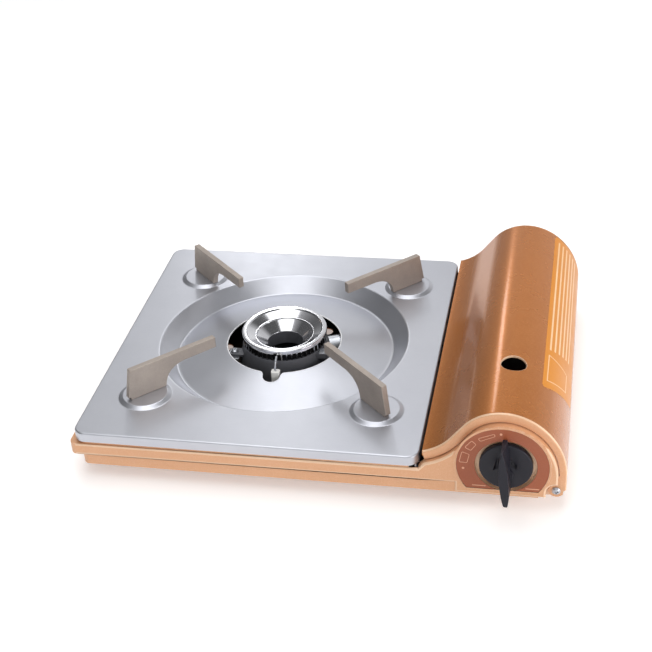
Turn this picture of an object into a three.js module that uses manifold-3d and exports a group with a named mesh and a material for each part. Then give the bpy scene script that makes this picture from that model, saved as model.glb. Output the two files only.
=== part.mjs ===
// Slim table stove for a butane cartridge: a pressed tray with a raised front and rear cheek, a loose top
// plate with four pot supports, a ring burner with its mixing tube and igniter, and a hinged lid over the
// cartridge bay.
import * as THREE from "three";
import { mergeVertices } from "three/addons/utils/BufferGeometryUtils.js";
import Module from "manifold-3d";

const wasm = await Module();
wasm.setup();

// Sizes are in millimetres. In the working frame x runs from the top plate's left edge to the right,
// y from its front edge to the back and z up from its top face. The knob is at the front.
const sheet = 1;
const gap = 0.3;
const overrun = 2;

const plate = { width: 246.6, depth: 267, corner: 9, skirt: 7.3 };

// From the middle of the plate to the middle of its recess, and from there to the burner's axis.
const recessOff = { right: 1.7, rear: 2.4 };
const burnerOff = { right: 0.8, rear: 0 };

// From the plate's right edge to the axes and faces that lie beyond it or just inside it.
const beyond = { lidTop: 56, dial: 56.3, knob: 58.5, cartridge: 56.9 };
const within = { shield: 3, emboss: 0.6 };

const recess = {
  x: plate.width / 2 + recessOff.right,
  y: plate.depth / 2 + recessOff.rear,
  rimRadius: 95.8,
  slopeWidth: 11.6,
  depth: 11.3,
  creaseWidth: 2.2,
  creaseRise: 0.3,
  holeRadius: 43.7,
  holeDepth: 1.8,
  steepSheet: 1.3,
  join: 1.5,
};

const notch = { halfWidth: 6.8, frontMargin: 7.1 };

const boss = { offset: 85.5, footRadius: 19.5, topRadius: 16, height: 2, join: 1 };

const support = {
  thick: 4.5,
  footInner: 104,
  footOuter: 135,
  topOuter: 131,
  topHeight: 26.5,
  tip: 60,
  tipDepth: 8.5,
  armDrop: 0.3,
  throatStart: 88,
  throatPull: 102.5,
  throatLevel: 16,
  relief: 2,
  tabWidth: 8,
  tabInset: 4,
  tabDrop: 2.5,
};

const head = {
  x: recess.x + burnerOff.right,
  y: recess.y + burnerOff.rear,
  rimRadius: 32.6,
  rimInner: 29.4,
  rimChamfer: 1,
  top: 9.3,
  rimHeight: 3.3,
  stepRadius: 22,
  stepTop: 4.8,
  stepDrop: 0.5,
  throatRadius: 13.5,
  throatTop: 2.1,
  throatBottom: 13,
  wall: 1.4,
};

const ring = { slots: 52, outer: 32, grooveDepth: 1.4, wall: 0.7, height: 5.8, toothShare: 0.25 };

const cast = {
  topRadius: 32.3,
  waistRadius: 36.3,
  waistDrop: 18.2,
  baseRadius: 34,
  bottom: 24.7,
  wall: 2.5,
  neckRadius: 8.2,
  neckBore: 4.6,
  neckReach: 46,
  neckDrop: 13.5,
  neckAngle: 22,
  lugOut: 8.3,
  lugWidth: 9,
  lugOffset: 12.5,
  lugThick: 2,
  hookOut: 3.7,
  hookOffset: 14.6,
  hookTop: 0.9,
  hookWidth: 7,
};

const strap = {
  lugMargin: 2.4,
  hookMargin: 2,
  frontMargin: 7.5,
  width: 14,
  thick: 1.5,
  tabDrop: 8.3,
  tabReach: 10,
  hookReach: 8,
  hookThick: 1.2,
};

const screw = { headRadius: 2.9, headHeight: 2, shankRadius: 1.6, hole: 1.9, slotWidth: 0.9, slotDepth: 1 };

const tube = {
  radius: 5.5,
  bore: 4,
  boreDepth: 6,
  flangeRadius: 9,
  flangeThick: 1.5,
  level: 19.4,
  steps: 28,
  sides: 8,
  mouthRadius: 7,
  mouthLength: 8,
  lineY: 39.5,
};

const electrodeOff = { right: 1.8, front: 43.3 };

const electrode = {
  x: head.x + electrodeOff.right,
  y: head.y - electrodeOff.front,
  width: 6.5,
  depth: 5.2,
  top: 0.9,
  length: 13.1,
};

const pin = { radius: 0.8, rise: 8.5, lean: 6.2 };

const bracket = { thick: 1.2, drop: 10.8, width: 15, legWidth: 5, reach: 9 };

const tray = {
  side: 3.5,
  front: 0.3,
  lipInset: 1.6,
  shoulder: 9.8,
  step: 17.8,
  bottom: 27.7,
  lowerSide: 4.2,
  lowerFront: 1.5,
  corner: 5,
  lipCorner: 8,
  rearOut: 0.3,
  beadWidth: 1.4,
  beadHeight: 0.6,
};

const lid = {
  front: 4.4,
  rear: 1.6,
  lipGap: 1.9,
  lipRise: 2.3,
  lipAngle: 15,
  concaveRadius: 36,
  slopeAngle: 51,
  topX: plate.width + beyond.lidTop,
  top: 37.9,
  topRadius: 34.5,
  shoulderFallAngle: 15,
  shoulderRadius: 42,
  flankFallAngle: 40,
  flankRadius: 49.57,
  sheet: 0.8,
  hem: 4,
  flangeLeft: 6.5,
  flangeRight: 4.8,
  windowY: 64.5,
  windowRadius: 9.2,
};

const pivot = { inset: 6.7, drop: 22.3, earRadius: 5.6, clear: 6.7, clearAngle: 82 };

const dial = { x: plate.width + beyond.dial, drop: 2.2, radius: 31, flatDrop: 21.7, thick: 0.4 };

const dialMargin = 0.9;

const cheek = {
  lidGap: 1,
  flangeGap: 0.4,
  panelGap: 0.8,
  embossLeft: plate.width - within.emboss,
  dialLeft: dial.x - dial.radius - dialMargin,
};

const knob = {
  x: plate.width + beyond.knob,
  z: -1.7,
  radius: 17.9,
  front: 1.4,
  thick: 4.4,
  dishRadius: 20.8,
  dishDepth: 3.6,
  finTop: 22.6,
  finBottom: 18,
  finTopReach: 17,
  finBottomReach: 22.8,
  finTipRadius: 2.2,
  finThin: 3.2,
  finThick: 6.4,
  finRidge: 2.3,
  pocketDepth: 2,
  bossRadius: 5,
  bossDrop: 5.8,
  bossProud: 1.2,
  boreDepth: 2.4,
};

const pocketShares = [
  [[-0.25, 0.41], [-0.46, -0.17], [-0.29, -0.04]],
  [[0.19, 0.43], [0.19, 0.07], [0.39, -0.1], [0.41, 0.14]],
];

const shaft = { radius: 3, hole: 4 };

const cam = { low: 6, rise: 4, y: 8.6, thick: 4, steps: 24, bore: 3.3, dropAngle: 60 };

const valveReach = { left: 15.1, right: 14.9 };

const valve = {
  left: knob.x - valveReach.left,
  right: knob.x + valveReach.right,
  front: 16,
  rear: 48,
  top: 14,
  bottom: 24.4,
  boreDepth: 8,
};

const seat = { thick: 1.5, margin: 7 };

const nozzle = { radius: 3.4, tipRadius: 1.6, tipLength: 6, reach: 22 };

const socket = { radius: 24, bore: 8, thick: 6, tongueWidth: 5, tongueHeight: 3 };

const magnet = { radius: 5, thick: 2, offset: 15.5 };

const igniterReach = { far: 43.1, near: 21.1 };

const igniter = {
  left: knob.x - igniterReach.far,
  right: knob.x - igniterReach.near,
  depth: 12,
  height: 12,
  front: 7.6,
  bore: 2.8,
  boreDepth: 16,
};

const plunger = { radius: 2.4, tipGap: 0.5, length: 21 };

const lead = { radius: 1.3, steps: 44, sides: 8, holeDrop: 16 };

// The lead's way: places left of the igniter, places by the shield, shares of the way from the electrode to
// the shield with a depth from the front for each, and heights.
const leadRoute = {
  highOut: 8,
  bendOut: 12,
  wallIn: 0.4,
  innerOut: 5.6,
  highZ: -9,
  bendZ: -14,
  innerZ: -18,
  floorShares: [0.84, 0.581, 0.322, 0.124, 0.021],
  floorY: [20, 24, 32, 48, 66],
  endOut: 10.6,
};

const troughInset = 20;

const bay = {
  cartridgeX: plate.width + beyond.cartridge,
  axisDrop: 1,
  troughRadius: 35.3,
  troughFront: 60,
  troughRear: plate.depth - troughInset,
};

const shield = {
  x: plate.width - within.shield,
  flange: 7,
  footFlange: 10,
  tubeHole: 7.6,
  leadHole: 2.2,
  cornerCut: 4,
  cornerDrop: 8,
};

const strip = { width: 12, thick: 1, wrapStartAngle: 222, wrapEndAngle: 196, wrapGap: 0.8 };

const clip = { width: 12, thick: 0.8, hemGap: 0.7, rise: 0.5, y: 150, foot: 8, bump: 1 };

const foot = {
  topRadius: 8,
  bottomRadius: 7,
  height: 13.3,
  left: 24,
  front: 38,
  rearLeft: 22,
  rearRight: 10.8,
  bore: 3.2,
  boreDepth: 6,
};

const vent = { radius: 5, count: 8, circle: 58, slotWidth: 26, slotHeight: 3.5, slots: 3, slotPitch: 8 };

const circleSteps = 48;
const recessSteps = 64;
const roundSteps = 24;
const footSteps = 16;
const smallSteps = 12;
const cornerSteps = 3;
const chordError = 0.035;
const tolerance = 0.004;

// Joins and cuts use solids made from merged, position-only geometry.
function solid(geometry) {
  const bare = geometry.index ? geometry.toNonIndexed() : geometry.clone();
  bare.deleteAttribute("normal");
  bare.deleteAttribute("uv");
  const merged = mergeVertices(bare, 1e-4);
  const triVerts = new Uint32Array(merged.index.array);
  const vertProperties = merged.attributes.position.array;
  const made = new wasm.Manifold(new wasm.Mesh({ numProp: 3, vertProperties, triVerts, tolerance }));
  if (made.volume() > 0) return made;
  for (let i = 0; i < triVerts.length; i += 3) {
    [triVerts[i + 1], triVerts[i + 2]] = [triVerts[i + 2], triVerts[i + 1]];
  }
  return new wasm.Manifold(new wasm.Mesh({ numProp: 3, vertProperties, triVerts, tolerance }));
}

function geometryOf(made) {
  const mesh = made.getMesh();
  const count = mesh.numProp;
  const positions = new Float32Array(mesh.numVert * 3);
  for (let i = 0; i < mesh.numVert; i++) {
    positions.set(mesh.vertProperties.subarray(i * count, i * count + 3), i * 3);
  }
  const geometry = new THREE.BufferGeometry();
  geometry.setAttribute("position", new THREE.BufferAttribute(positions, 3));
  geometry.setIndex(new THREE.BufferAttribute(mesh.triVerts, 1));
  geometry.computeVertexNormals();
  return geometry;
}

function join(...solids) {
  return solids.reduce((a, b) => a.add(b));
}

function cut(base, ...tools) {
  return tools.reduce((a, b) => a.subtract(b), base);
}

function placed(made, matrix) {
  return solid(geometryOf(made).applyMatrix4(matrix));
}

function point(a, b) {
  return new THREE.Vector2(a, b);
}

function box(x0, x1, y0, y1, z0, z1) {
  const geometry = new THREE.BoxGeometry(x1 - x0, y1 - y0, z1 - z0);
  return solid(geometry.translate((x0 + x1) / 2, (y0 + y1) / 2, (z0 + z1) / 2));
}

// An outline in x and y, raised from one level to another.
function raised(outline, z0, z1) {
  const shape = Array.isArray(outline) ? new THREE.Shape(outline) : outline;
  const options = { depth: z1 - z0, bevelEnabled: false, curveSegments: cornerSteps };
  return solid(new THREE.ExtrudeGeometry(shape, options).translate(0, 0, z0));
}

// An outline in x and z, drawn out from the front y to the rear y.
function drawn(outline, y0, y1) {
  const shape = Array.isArray(outline) ? new THREE.Shape(outline) : outline;
  const options = { depth: y1 - y0, bevelEnabled: false, curveSegments: cornerSteps };
  const geometry = new THREE.ExtrudeGeometry(shape, options);
  return solid(geometry.rotateX(Math.PI / 2).translate(0, y1, 0));
}

// An outline in y and z, drawn out from the left x to the right x.
function across(outline, x0, x1) {
  const shape = Array.isArray(outline) ? new THREE.Shape(outline) : outline;
  const options = { depth: x1 - x0, bevelEnabled: false, curveSegments: cornerSteps };
  const turn = new THREE.Matrix4().makeBasis(
    new THREE.Vector3(0, 1, 0),
    new THREE.Vector3(0, 0, 1),
    new THREE.Vector3(1, 0, 0),
  );
  return solid(new THREE.ExtrudeGeometry(shape, options).applyMatrix4(turn).translate(x0, 0, 0));
}

// A turned piece about the vertical through x, y. The profile holds radius and height.
function turned(profile, steps, x = 0, y = 0) {
  return solid(new THREE.LatheGeometry(profile, steps).rotateX(Math.PI / 2).translate(x, y, 0));
}

function diskUp(radius, x, y, z0, z1, steps = circleSteps) {
  const geometry = new THREE.CylinderGeometry(radius, radius, z1 - z0, steps);
  return solid(geometry.rotateX(Math.PI / 2).translate(x, y, (z0 + z1) / 2));
}

function diskBack(radius, x, z, y0, y1, steps = circleSteps) {
  const geometry = new THREE.CylinderGeometry(radius, radius, y1 - y0, steps);
  return solid(geometry.translate(x, (y0 + y1) / 2, z));
}

function diskRight(radius, y, z, x0, x1, steps = circleSteps) {
  const geometry = new THREE.CylinderGeometry(radius, radius, x1 - x0, steps);
  return solid(geometry.rotateZ(Math.PI / 2).translate((x0 + x1) / 2, y, z));
}

function roundRect(x0, y0, x1, y1, r) {
  const shape = new THREE.Shape();
  shape.moveTo(x0 + r, y0);
  shape.lineTo(x1 - r, y0);
  shape.absarc(x1 - r, y0 + r, r, -Math.PI / 2, 0);
  shape.lineTo(x1, y1 - r);
  shape.absarc(x1 - r, y1 - r, r, 0, Math.PI / 2);
  shape.lineTo(x0 + r, y1);
  shape.absarc(x0 + r, y1 - r, r, Math.PI / 2, Math.PI);
  shape.lineTo(x0, y0 + r);
  shape.absarc(x0 + r, y0 + r, r, Math.PI, 1.5 * Math.PI);
  return shape;
}

function band(x0, y0, x1, y1, r, wall, z0, z1) {
  const inner = roundRect(x0 + wall, y0 + wall, x1 - wall, y1 - wall, Math.max(r - wall, wall / 2));
  return cut(raised(roundRect(x0, y0, x1, y1, r), z0, z1), raised(inner, z0 - overrun, z1 + overrun));
}

// Points with outward normals along an arc whose angles are in degrees.
function arcPoints(cx, cz, radius, from, to, facing, error = chordError) {
  const stepAngle = 2 * THREE.MathUtils.radToDeg(Math.acos(1 - error / radius));
  const steps = Math.ceil(Math.abs(to - from) / stepAngle);
  return Array.from({ length: steps + 1 }, (_, i) => {
    const angle = THREE.MathUtils.degToRad(from + ((to - from) * i) / steps);
    const normal = point(Math.cos(angle), Math.sin(angle));
    return { at: point(cx + radius * normal.x, cz + radius * normal.y), out: normal.multiplyScalar(facing) };
  });
}

// The lid's cross-section: a hollow curve up from its left lip, a round top, a fuller right shoulder and a flatter flank.
const lipX = plate.width + lid.lipGap;
const topZ = lid.top - lid.topRadius;
const shoulderAngle = 90 - lid.shoulderFallAngle;
const shoulderTurn = THREE.MathUtils.degToRad(shoulderAngle);
const shoulderX = lid.topX + (lid.topRadius - lid.shoulderRadius) * Math.cos(shoulderTurn);
const shoulderZ = topZ + (lid.topRadius - lid.shoulderRadius) * Math.sin(shoulderTurn);
const flankAngle = 90 - lid.flankFallAngle;
const flankTurn = THREE.MathUtils.degToRad(flankAngle);
const flankX = shoulderX + (lid.shoulderRadius - lid.flankRadius) * Math.cos(flankTurn);
const flankZ = shoulderZ + (lid.shoulderRadius - lid.flankRadius) * Math.sin(flankTurn);
const lidRight = flankX + lid.flankRadius;
const lidRear = plate.depth - lid.rear;
const pivotX = lidRight - pivot.inset;
const pivotZ = -pivot.drop;
const lipTurn = THREE.MathUtils.degToRad(lid.lipAngle);
const hollowX = lipX - lid.concaveRadius * Math.sin(lipTurn);
const hollowZ = lid.lipRise + lid.concaveRadius * Math.cos(lipTurn);
const lidCurve = [
  ...arcPoints(hollowX, hollowZ, lid.concaveRadius, lid.lipAngle - 90, lid.slopeAngle - 90, -1),
  ...arcPoints(lid.topX, topZ, lid.topRadius, 90 + lid.slopeAngle, shoulderAngle, 1),
  ...arcPoints(shoulderX, shoulderZ, lid.shoulderRadius, shoulderAngle, flankAngle, 1).slice(1),
  ...arcPoints(flankX, flankZ, lid.flankRadius, flankAngle, 0, 1).slice(1),
  { at: point(lidRight, pivotZ), out: point(1, 0) },
];

const curveLengths = lidCurve.map((_, i) =>
  lidCurve.slice(1, i + 1).reduce((sum, c, k) => sum + c.at.distanceTo(lidCurve[k].at), 0),
);
const curveLength = curveLengths[curveLengths.length - 1];
const flangeBlendShares = { from: 0.42, to: 0.85 };

// The lid's curve moved inwards, by one amount at its left and top and by another at its right.
function inset(left, right = left) {
  return lidCurve.map((c, i) => {
    const t = curveLengths[i] / curveLength;
    const blend = THREE.MathUtils.smoothstep(t, flangeBlendShares.from, flangeBlendShares.to);
    return c.at.clone().addScaledVector(c.out, -(left + (right - left) * blend));
  });
}

function strapOutline(outerCurve, innerCurve) {
  return [...outerCurve, ...innerCurve.slice().reverse()];
}

const trayRear = plate.depth - tray.rearOut;
const lowerRear = plate.depth - tray.lowerFront;
const floorTop = -tray.bottom + sheet;
const cheekFront = lid.front + sheet + cheek.flangeGap;
const cheekRear = lidRear - sheet - cheek.flangeGap;
const endCorner = tray.bottom - pivot.drop;
const bayRight = pivotX - pivot.clear;

// The raised panel's outline in x and z, drawn in by the given amount on the sides that have a wall.
function panelOutline(drawnIn) {
  const left = cheek.panelGap + lid.flangeLeft + drawnIn;
  const right = cheek.panelGap + lid.flangeRight + drawnIn;
  const low = floorTop + drawnIn;
  const reach = pivot.clear + drawnIn;
  const curve = inset(left, right).filter((p) => p.y > pivotZ + reach || p.x < pivotX - reach);
  const around = arcPoints(pivotX, pivotZ, reach, pivot.clearAngle, 180, 1).map((c) => c.at);
  return [
    point(cheek.embossLeft - drawnIn, -tray.shoulder - drawnIn),
    ...curve,
    ...around,
    point(pivotX - reach, low),
    point(cheek.dialLeft + drawnIn, low),
    point(cheek.dialLeft + drawnIn, -tray.step - sheet + drawnIn),
    point(cheek.embossLeft - drawnIn, -tray.step - sheet + drawnIn),
  ];
}

// The border sheet behind the lid's end flange, round the panel and the pivot.
function borderOutline() {
  const curve = inset(lid.sheet + cheek.lidGap).filter((p) => p.x > lipX + lid.sheet + cheek.lidGap);
  const corner = arcPoints(pivotX, pivotZ, endCorner, 0, -90, 1).map((c) => c.at);
  const left = lipX + lid.sheet + cheek.lidGap;
  return [point(left, curve[0].y), ...curve.slice(0, -1), ...corner, point(left, -tray.bottom)];
}

function cheekEnd(face, border, back) {
  const y = (near, far) => (near < far ? [near, far] : [far, near]);
  const outer = drawn(panelOutline(0), ...y(face, border + back * sheet));
  const hollow = drawn(panelOutline(sheet), ...y(face + back * sheet, border + back * (sheet + overrun)));
  const edge = drawn(borderOutline(), ...y(border, border + back * sheet));
  return join(outer, edge).subtract(hollow);
}

function weldNut(y0, y1) {
  return diskBack(endCorner - sheet / 2, pivotX, pivotZ, y0, y1, roundSteps);
}

function trayFloorEnd() {
  const outer = arcPoints(pivotX, pivotZ, endCorner, -90, 0, 1).map((c) => c.at);
  const inner = arcPoints(pivotX, pivotZ, endCorner - sheet, 0, -90, 1).map((c) => c.at);
  const wallTop = -tray.shoulder;
  const outline = [
    point(bayRight - sheet, -tray.bottom),
    ...outer,
    point(pivotX + endCorner, wallTop),
    point(pivotX + endCorner - sheet, wallTop),
    ...inner,
    point(bayRight - sheet, floorTop),
  ];
  return drawn(outline, cheekFront, cheekRear);
}

function trough() {
  const outer = bay.troughRadius + sheet;
  const front = bay.troughFront - sheet;
  const rear = bay.troughRear + sheet;
  const round = diskBack(outer, bay.cartridgeX, -bay.axisDrop, front, rear, recessSteps);
  const far = outer + overrun;
  const side = bay.cartridgeX;
  return round.subtract(box(side - far, side + far, front - overrun, rear + overrun, floorTop, far));
}

function ventHoles() {
  return Array.from({ length: vent.count }, (_, i) => {
    const angle = ((i + 0.5) * 2 * Math.PI) / vent.count;
    const x = recess.x + vent.circle * Math.cos(angle);
    const y = recess.y + vent.circle * Math.sin(angle);
    return diskUp(vent.radius, x, y, -tray.bottom - overrun, floorTop + overrun, smallSteps);
  });
}

function rearSlots() {
  return Array.from({ length: vent.slots }, (_, i) => {
    const z = -tray.step + sheet + vent.slotHeight + i * vent.slotPitch;
    const x0 = bay.cartridgeX - vent.slotWidth / 2;
    const half = vent.slotHeight / 2;
    return box(x0, x0 + vent.slotWidth, cheekRear - sheet, trayRear + overrun, z - half, z + half);
  });
}

function bodyTray() {
  const lowerWall = band(
    tray.lowerSide, tray.lowerFront, bayRight, lowerRear, tray.corner, sheet, -tray.bottom, -tray.step,
  );
  const floorOutline = roundRect(tray.lowerSide, tray.lowerFront, bayRight, lowerRear, tray.corner);
  const floor = raised(floorOutline, -tray.bottom, floorTop);
  const right = bayRight + tray.corner;
  const bandRight = cheek.embossLeft + sheet;
  const wallBand = band(
    -tray.side, tray.front, right, trayRear, tray.corner, sheet, -tray.step - sheet, -tray.shoulder,
  );
  const stepRing = cut(
    raised(roundRect(-tray.side, tray.front, right, trayRear, tray.corner), -tray.step - sheet, -tray.step),
    raised(
      roundRect(
        tray.lowerSide + sheet,
        tray.lowerFront + sheet,
        right + overrun,
        lowerRear - sheet,
        tray.corner,
      ),
      -tray.step - sheet - overrun,
      -tray.step + overrun,
    ),
  );
  const lipRight = shield.x + tray.lipCorner + sheet;
  const lipFront = tray.lipInset;
  const lipRear = plate.depth - tray.lipInset;
  const ledgeTop = -tray.shoulder;
  const ledge = cut(
    raised(roundRect(-tray.side, tray.front, right, trayRear, tray.corner), ledgeTop - sheet, ledgeTop),
    raised(
      roundRect(lipFront + sheet, lipFront + sheet, right + overrun, lipRear - sheet, tray.lipCorner),
      ledgeTop - sheet - overrun,
      ledgeTop + overrun,
    ),
  );
  const lip = band(
    tray.lipInset, lipFront, lipRight, lipRear, tray.lipCorner, sheet, ledgeTop - sheet, -sheet,
  );
  const upper = cut(
    join(wallBand, stepRing, ledge),
    box(bandRight, right + overrun, -overrun, plate.depth + overrun, -tray.bottom, 0),
  );
  const lipEnd = plate.width - plate.corner + 2 * sheet;
  const lipOpen = cut(lip, box(lipEnd, lipRight + overrun, 0, plate.depth, -tray.bottom, 0));
  const frontCheek = cheekEnd(tray.front, cheekFront, 1);
  const rearCheek = cheekEnd(trayRear, cheekRear, -1);
  const lowerWalls = cut(
    join(lowerWall, floor),
    box(bayRight - tray.corner, bayRight + overrun, 0, cheekFront, -tray.bottom - overrun, 0),
    box(bayRight - tray.corner, bayRight + overrun, cheekRear, plate.depth, -tray.bottom - overrun, 0),
    box(bayRight - sheet - gap, bayRight + overrun, 0, plate.depth, floorTop, 0),
  );
  const shell = join(lowerWalls, upper, lipOpen, frontCheek, rearCheek, trayFloorEnd(), trough());
  const nuts = join(
    shell,
    weldNut(cheekFront, cheekFront + sheet * 4),
    weldNut(cheekRear - sheet * 4, cheekRear),
  );
  const knobZ = knob.z;
  const dishFace = tray.front + knob.dishDepth;
  const dish = join(nuts, diskBack(knob.dishRadius + sheet, knob.x, knobZ, tray.front, dishFace + sheet));
  const clearCan = diskBack(
    bay.troughRadius, bay.cartridgeX, -bay.axisDrop, bay.troughFront, bay.troughRear, recessSteps,
  );
  const beadOut = drawn(dialOutline(dial.radius + tray.beadWidth), tray.front - tray.beadHeight, tray.front);
  const beadIn = drawn(dialOutline(dial.radius + gap / 3), tray.front - overrun, tray.front + overrun);
  return cut(
    join(dish, beadOut.subtract(beadIn)),
    diskBack(knob.dishRadius, knob.x, knobZ, -overrun, dishFace),
    diskBack(shaft.hole, knob.x, knobZ, 0, dishFace + overrun),
    diskBack(screw.hole, pivotX, pivotZ, 0, plate.depth, smallSteps),
    clearCan,
    ...ventHoles(),
    ...rearSlots(),
    ...footSpots().map(([x, y]) =>
      diskUp(screw.hole, x, y, -tray.bottom - overrun, floorTop + overrun, smallSteps),
    ),
  );
}

function topPlate() {
  const outline = roundRect(0, 0, plate.width, plate.depth, plate.corner);
  const top = raised(outline, -sheet, 0);
  const skirt = band(0, 0, plate.width, plate.depth, plate.corner, sheet, -plate.skirt, -sheet / 2);
  const slopeFoot = recess.rimRadius - recess.slopeWidth;
  const face = [
    point(recess.rimRadius + recess.join, 0),
    point(recess.rimRadius, 0),
    point(slopeFoot, -recess.depth),
    point(slopeFoot - recess.creaseWidth, -recess.depth + recess.creaseRise),
    point(recess.holeRadius, -recess.holeDepth),
  ];
  const under = face.map((p) => point(p.x, p.y - recess.steepSheet)).reverse();
  under[under.length - 1].y = -sheet;
  const bowl = turned([...face, ...under, face[0]], recessSteps, recess.x, recess.y);
  const opened = cut(
    join(top, skirt),
    diskUp(recess.rimRadius + recess.join / 2, recess.x, recess.y, -overrun, overrun, recessSteps),
  );
  const capRim = boss.footRadius + boss.join;
  const cap = [
    point(0, boss.height),
    point(boss.topRadius, boss.height),
    point(boss.footRadius, 0),
    point(capRim, 0),
    point(capRim, -sheet),
    point(boss.footRadius - gap, -sheet),
    point(boss.topRadius - gap, boss.height - sheet),
    point(0, boss.height - sheet),
  ];
  const corners = [45, 135, 225, 315].map((a) => THREE.MathUtils.degToRad(a));
  const places = corners.map((a) => [
    recess.x + Math.SQRT2 * boss.offset * Math.cos(a),
    recess.y + Math.SQRT2 * boss.offset * Math.sin(a),
  ]);
  const pierced = cut(
    opened,
    ...places.map(([x, y]) => diskUp(boss.footRadius + boss.join / 2, x, y, -overrun, overrun, roundSteps)),
  );
  const capped = join(pierced, bowl, ...places.map(([x, y]) => turned(cap, roundSteps, x, y)));
  const slots = corners.flatMap((a) => {
    const matrix = new THREE.Matrix4().makeRotationZ(a).setPosition(recess.x, recess.y, 0);
    return tabSpans().map(([s0, s1]) => {
      const half = support.thick / 2 + gap;
      return placed(box(s0 - gap, s1 + gap, -half, half, -overrun, boss.height + overrun), matrix);
    });
  });
  const low = -recess.depth;
  const notchFront = electrode.y - electrode.depth / 2 - notch.frontMargin;
  const notchEnd = notchFront + notch.halfWidth;
  return cut(
    capped,
    ...slots,
    diskUp(notch.halfWidth, recess.x, notchEnd, low, overrun, roundSteps),
    box(
      recess.x - notch.halfWidth, recess.x + notch.halfWidth, notchEnd, recess.y, low, overrun,
    ),
  );
}

// Where each support's two tabs stand, along the radius from the burner.
function tabSpans() {
  const inner = support.footInner + support.tabInset;
  const outer = support.footOuter - support.tabInset;
  return [
    [inner, inner + support.tabWidth],
    [outer - support.tabWidth, outer],
  ];
}

function supportBlade() {
  const shape = new THREE.Shape();
  const base = boss.height;
  const armUnder = support.topHeight - support.tipDepth;
  shape.moveTo(support.footInner, base);
  shape.lineTo(support.footOuter - support.relief, base);
  shape.lineTo(support.footOuter - support.relief, base + support.relief);
  shape.lineTo(support.footOuter, base + support.relief);
  shape.lineTo(support.topOuter, support.topHeight);
  shape.lineTo(support.tip, support.topHeight);
  shape.lineTo(support.tip, armUnder);
  shape.lineTo(support.throatStart, armUnder - support.armDrop);
  shape.quadraticCurveTo(support.throatPull, support.throatLevel, support.footInner, base);
  const half = support.thick / 2;
  const tabs = tabSpans().map(([s0, s1]) => box(s0, s1, -half, half, base - support.tabDrop, base + sheet));
  return join(drawn(shape, -half, half), ...tabs);
}

function burnerHead() {
  const seatZ = head.top - head.rimHeight;
  const coneFoot = head.throatRadius + head.wall;
  const profile = [
    point(head.rimRadius, seatZ),
    point(head.rimRadius, head.top - head.rimChamfer),
    point(head.rimRadius - head.rimChamfer, head.top),
    point(head.rimInner, head.top),
    point(head.rimInner - head.rimChamfer, head.top - head.rimChamfer),
    point(head.stepRadius, head.stepTop),
    point(head.stepRadius - head.stepDrop, head.stepTop - head.stepDrop),
    point(head.throatRadius, -head.throatTop),
    point(head.throatRadius, -head.throatBottom),
    point(coneFoot, -head.throatBottom),
    point(coneFoot, -head.throatTop - head.wall),
    point(head.rimInner, seatZ - head.wall),
    point(ring.outer - ring.grooveDepth - ring.wall, seatZ),
    point(head.rimRadius, seatZ),
  ];
  return turned(profile, circleSteps, head.x, head.y);
}

function flameRing() {
  const shape = new THREE.Shape();
  const pitch = (2 * Math.PI) / ring.slots;
  const groove = ring.outer - ring.grooveDepth;
  const tooth = pitch * ring.toothShare;
  for (let i = 0; i < ring.slots; i++) {
    const start = i * pitch;
    const corners = [
      [ring.outer, start],
      [ring.outer, start + tooth],
      [groove, start + tooth],
      [groove, start + pitch],
    ];
    corners.forEach(([r, a], k) => {
      const at = [r * Math.cos(a), r * Math.sin(a)];
      if (i + k) shape.lineTo(...at);
      else shape.moveTo(...at);
    });
  }
  const top = head.top - head.rimHeight;
  const made = raised(shape, top - ring.height, top);
  const bore = diskUp(groove - ring.wall, 0, 0, -ring.height, head.top + overrun);
  return placed(made.subtract(bore), new THREE.Matrix4().makeTranslation(head.x, head.y, 0));
}

const neckTurn = THREE.MathUtils.degToRad(cast.neckAngle);

// A piece drawn along +x from the burner's axis, turned to the mixing tube's direction.
function atNeck(made) {
  return placed(made, new THREE.Matrix4().makeRotationZ(neckTurn).setPosition(head.x, head.y, 0));
}

const lugReach = cast.topRadius + cast.lugOut;
const hookReach = cast.topRadius + cast.hookOut;
const strapFront = cast.lugOffset + strap.frontMargin;
const lugScrewX = head.x - lugReach + screw.headRadius + gap;
const lugY = head.y - cast.lugOffset;
const hookY = head.y - cast.hookOffset;

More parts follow.
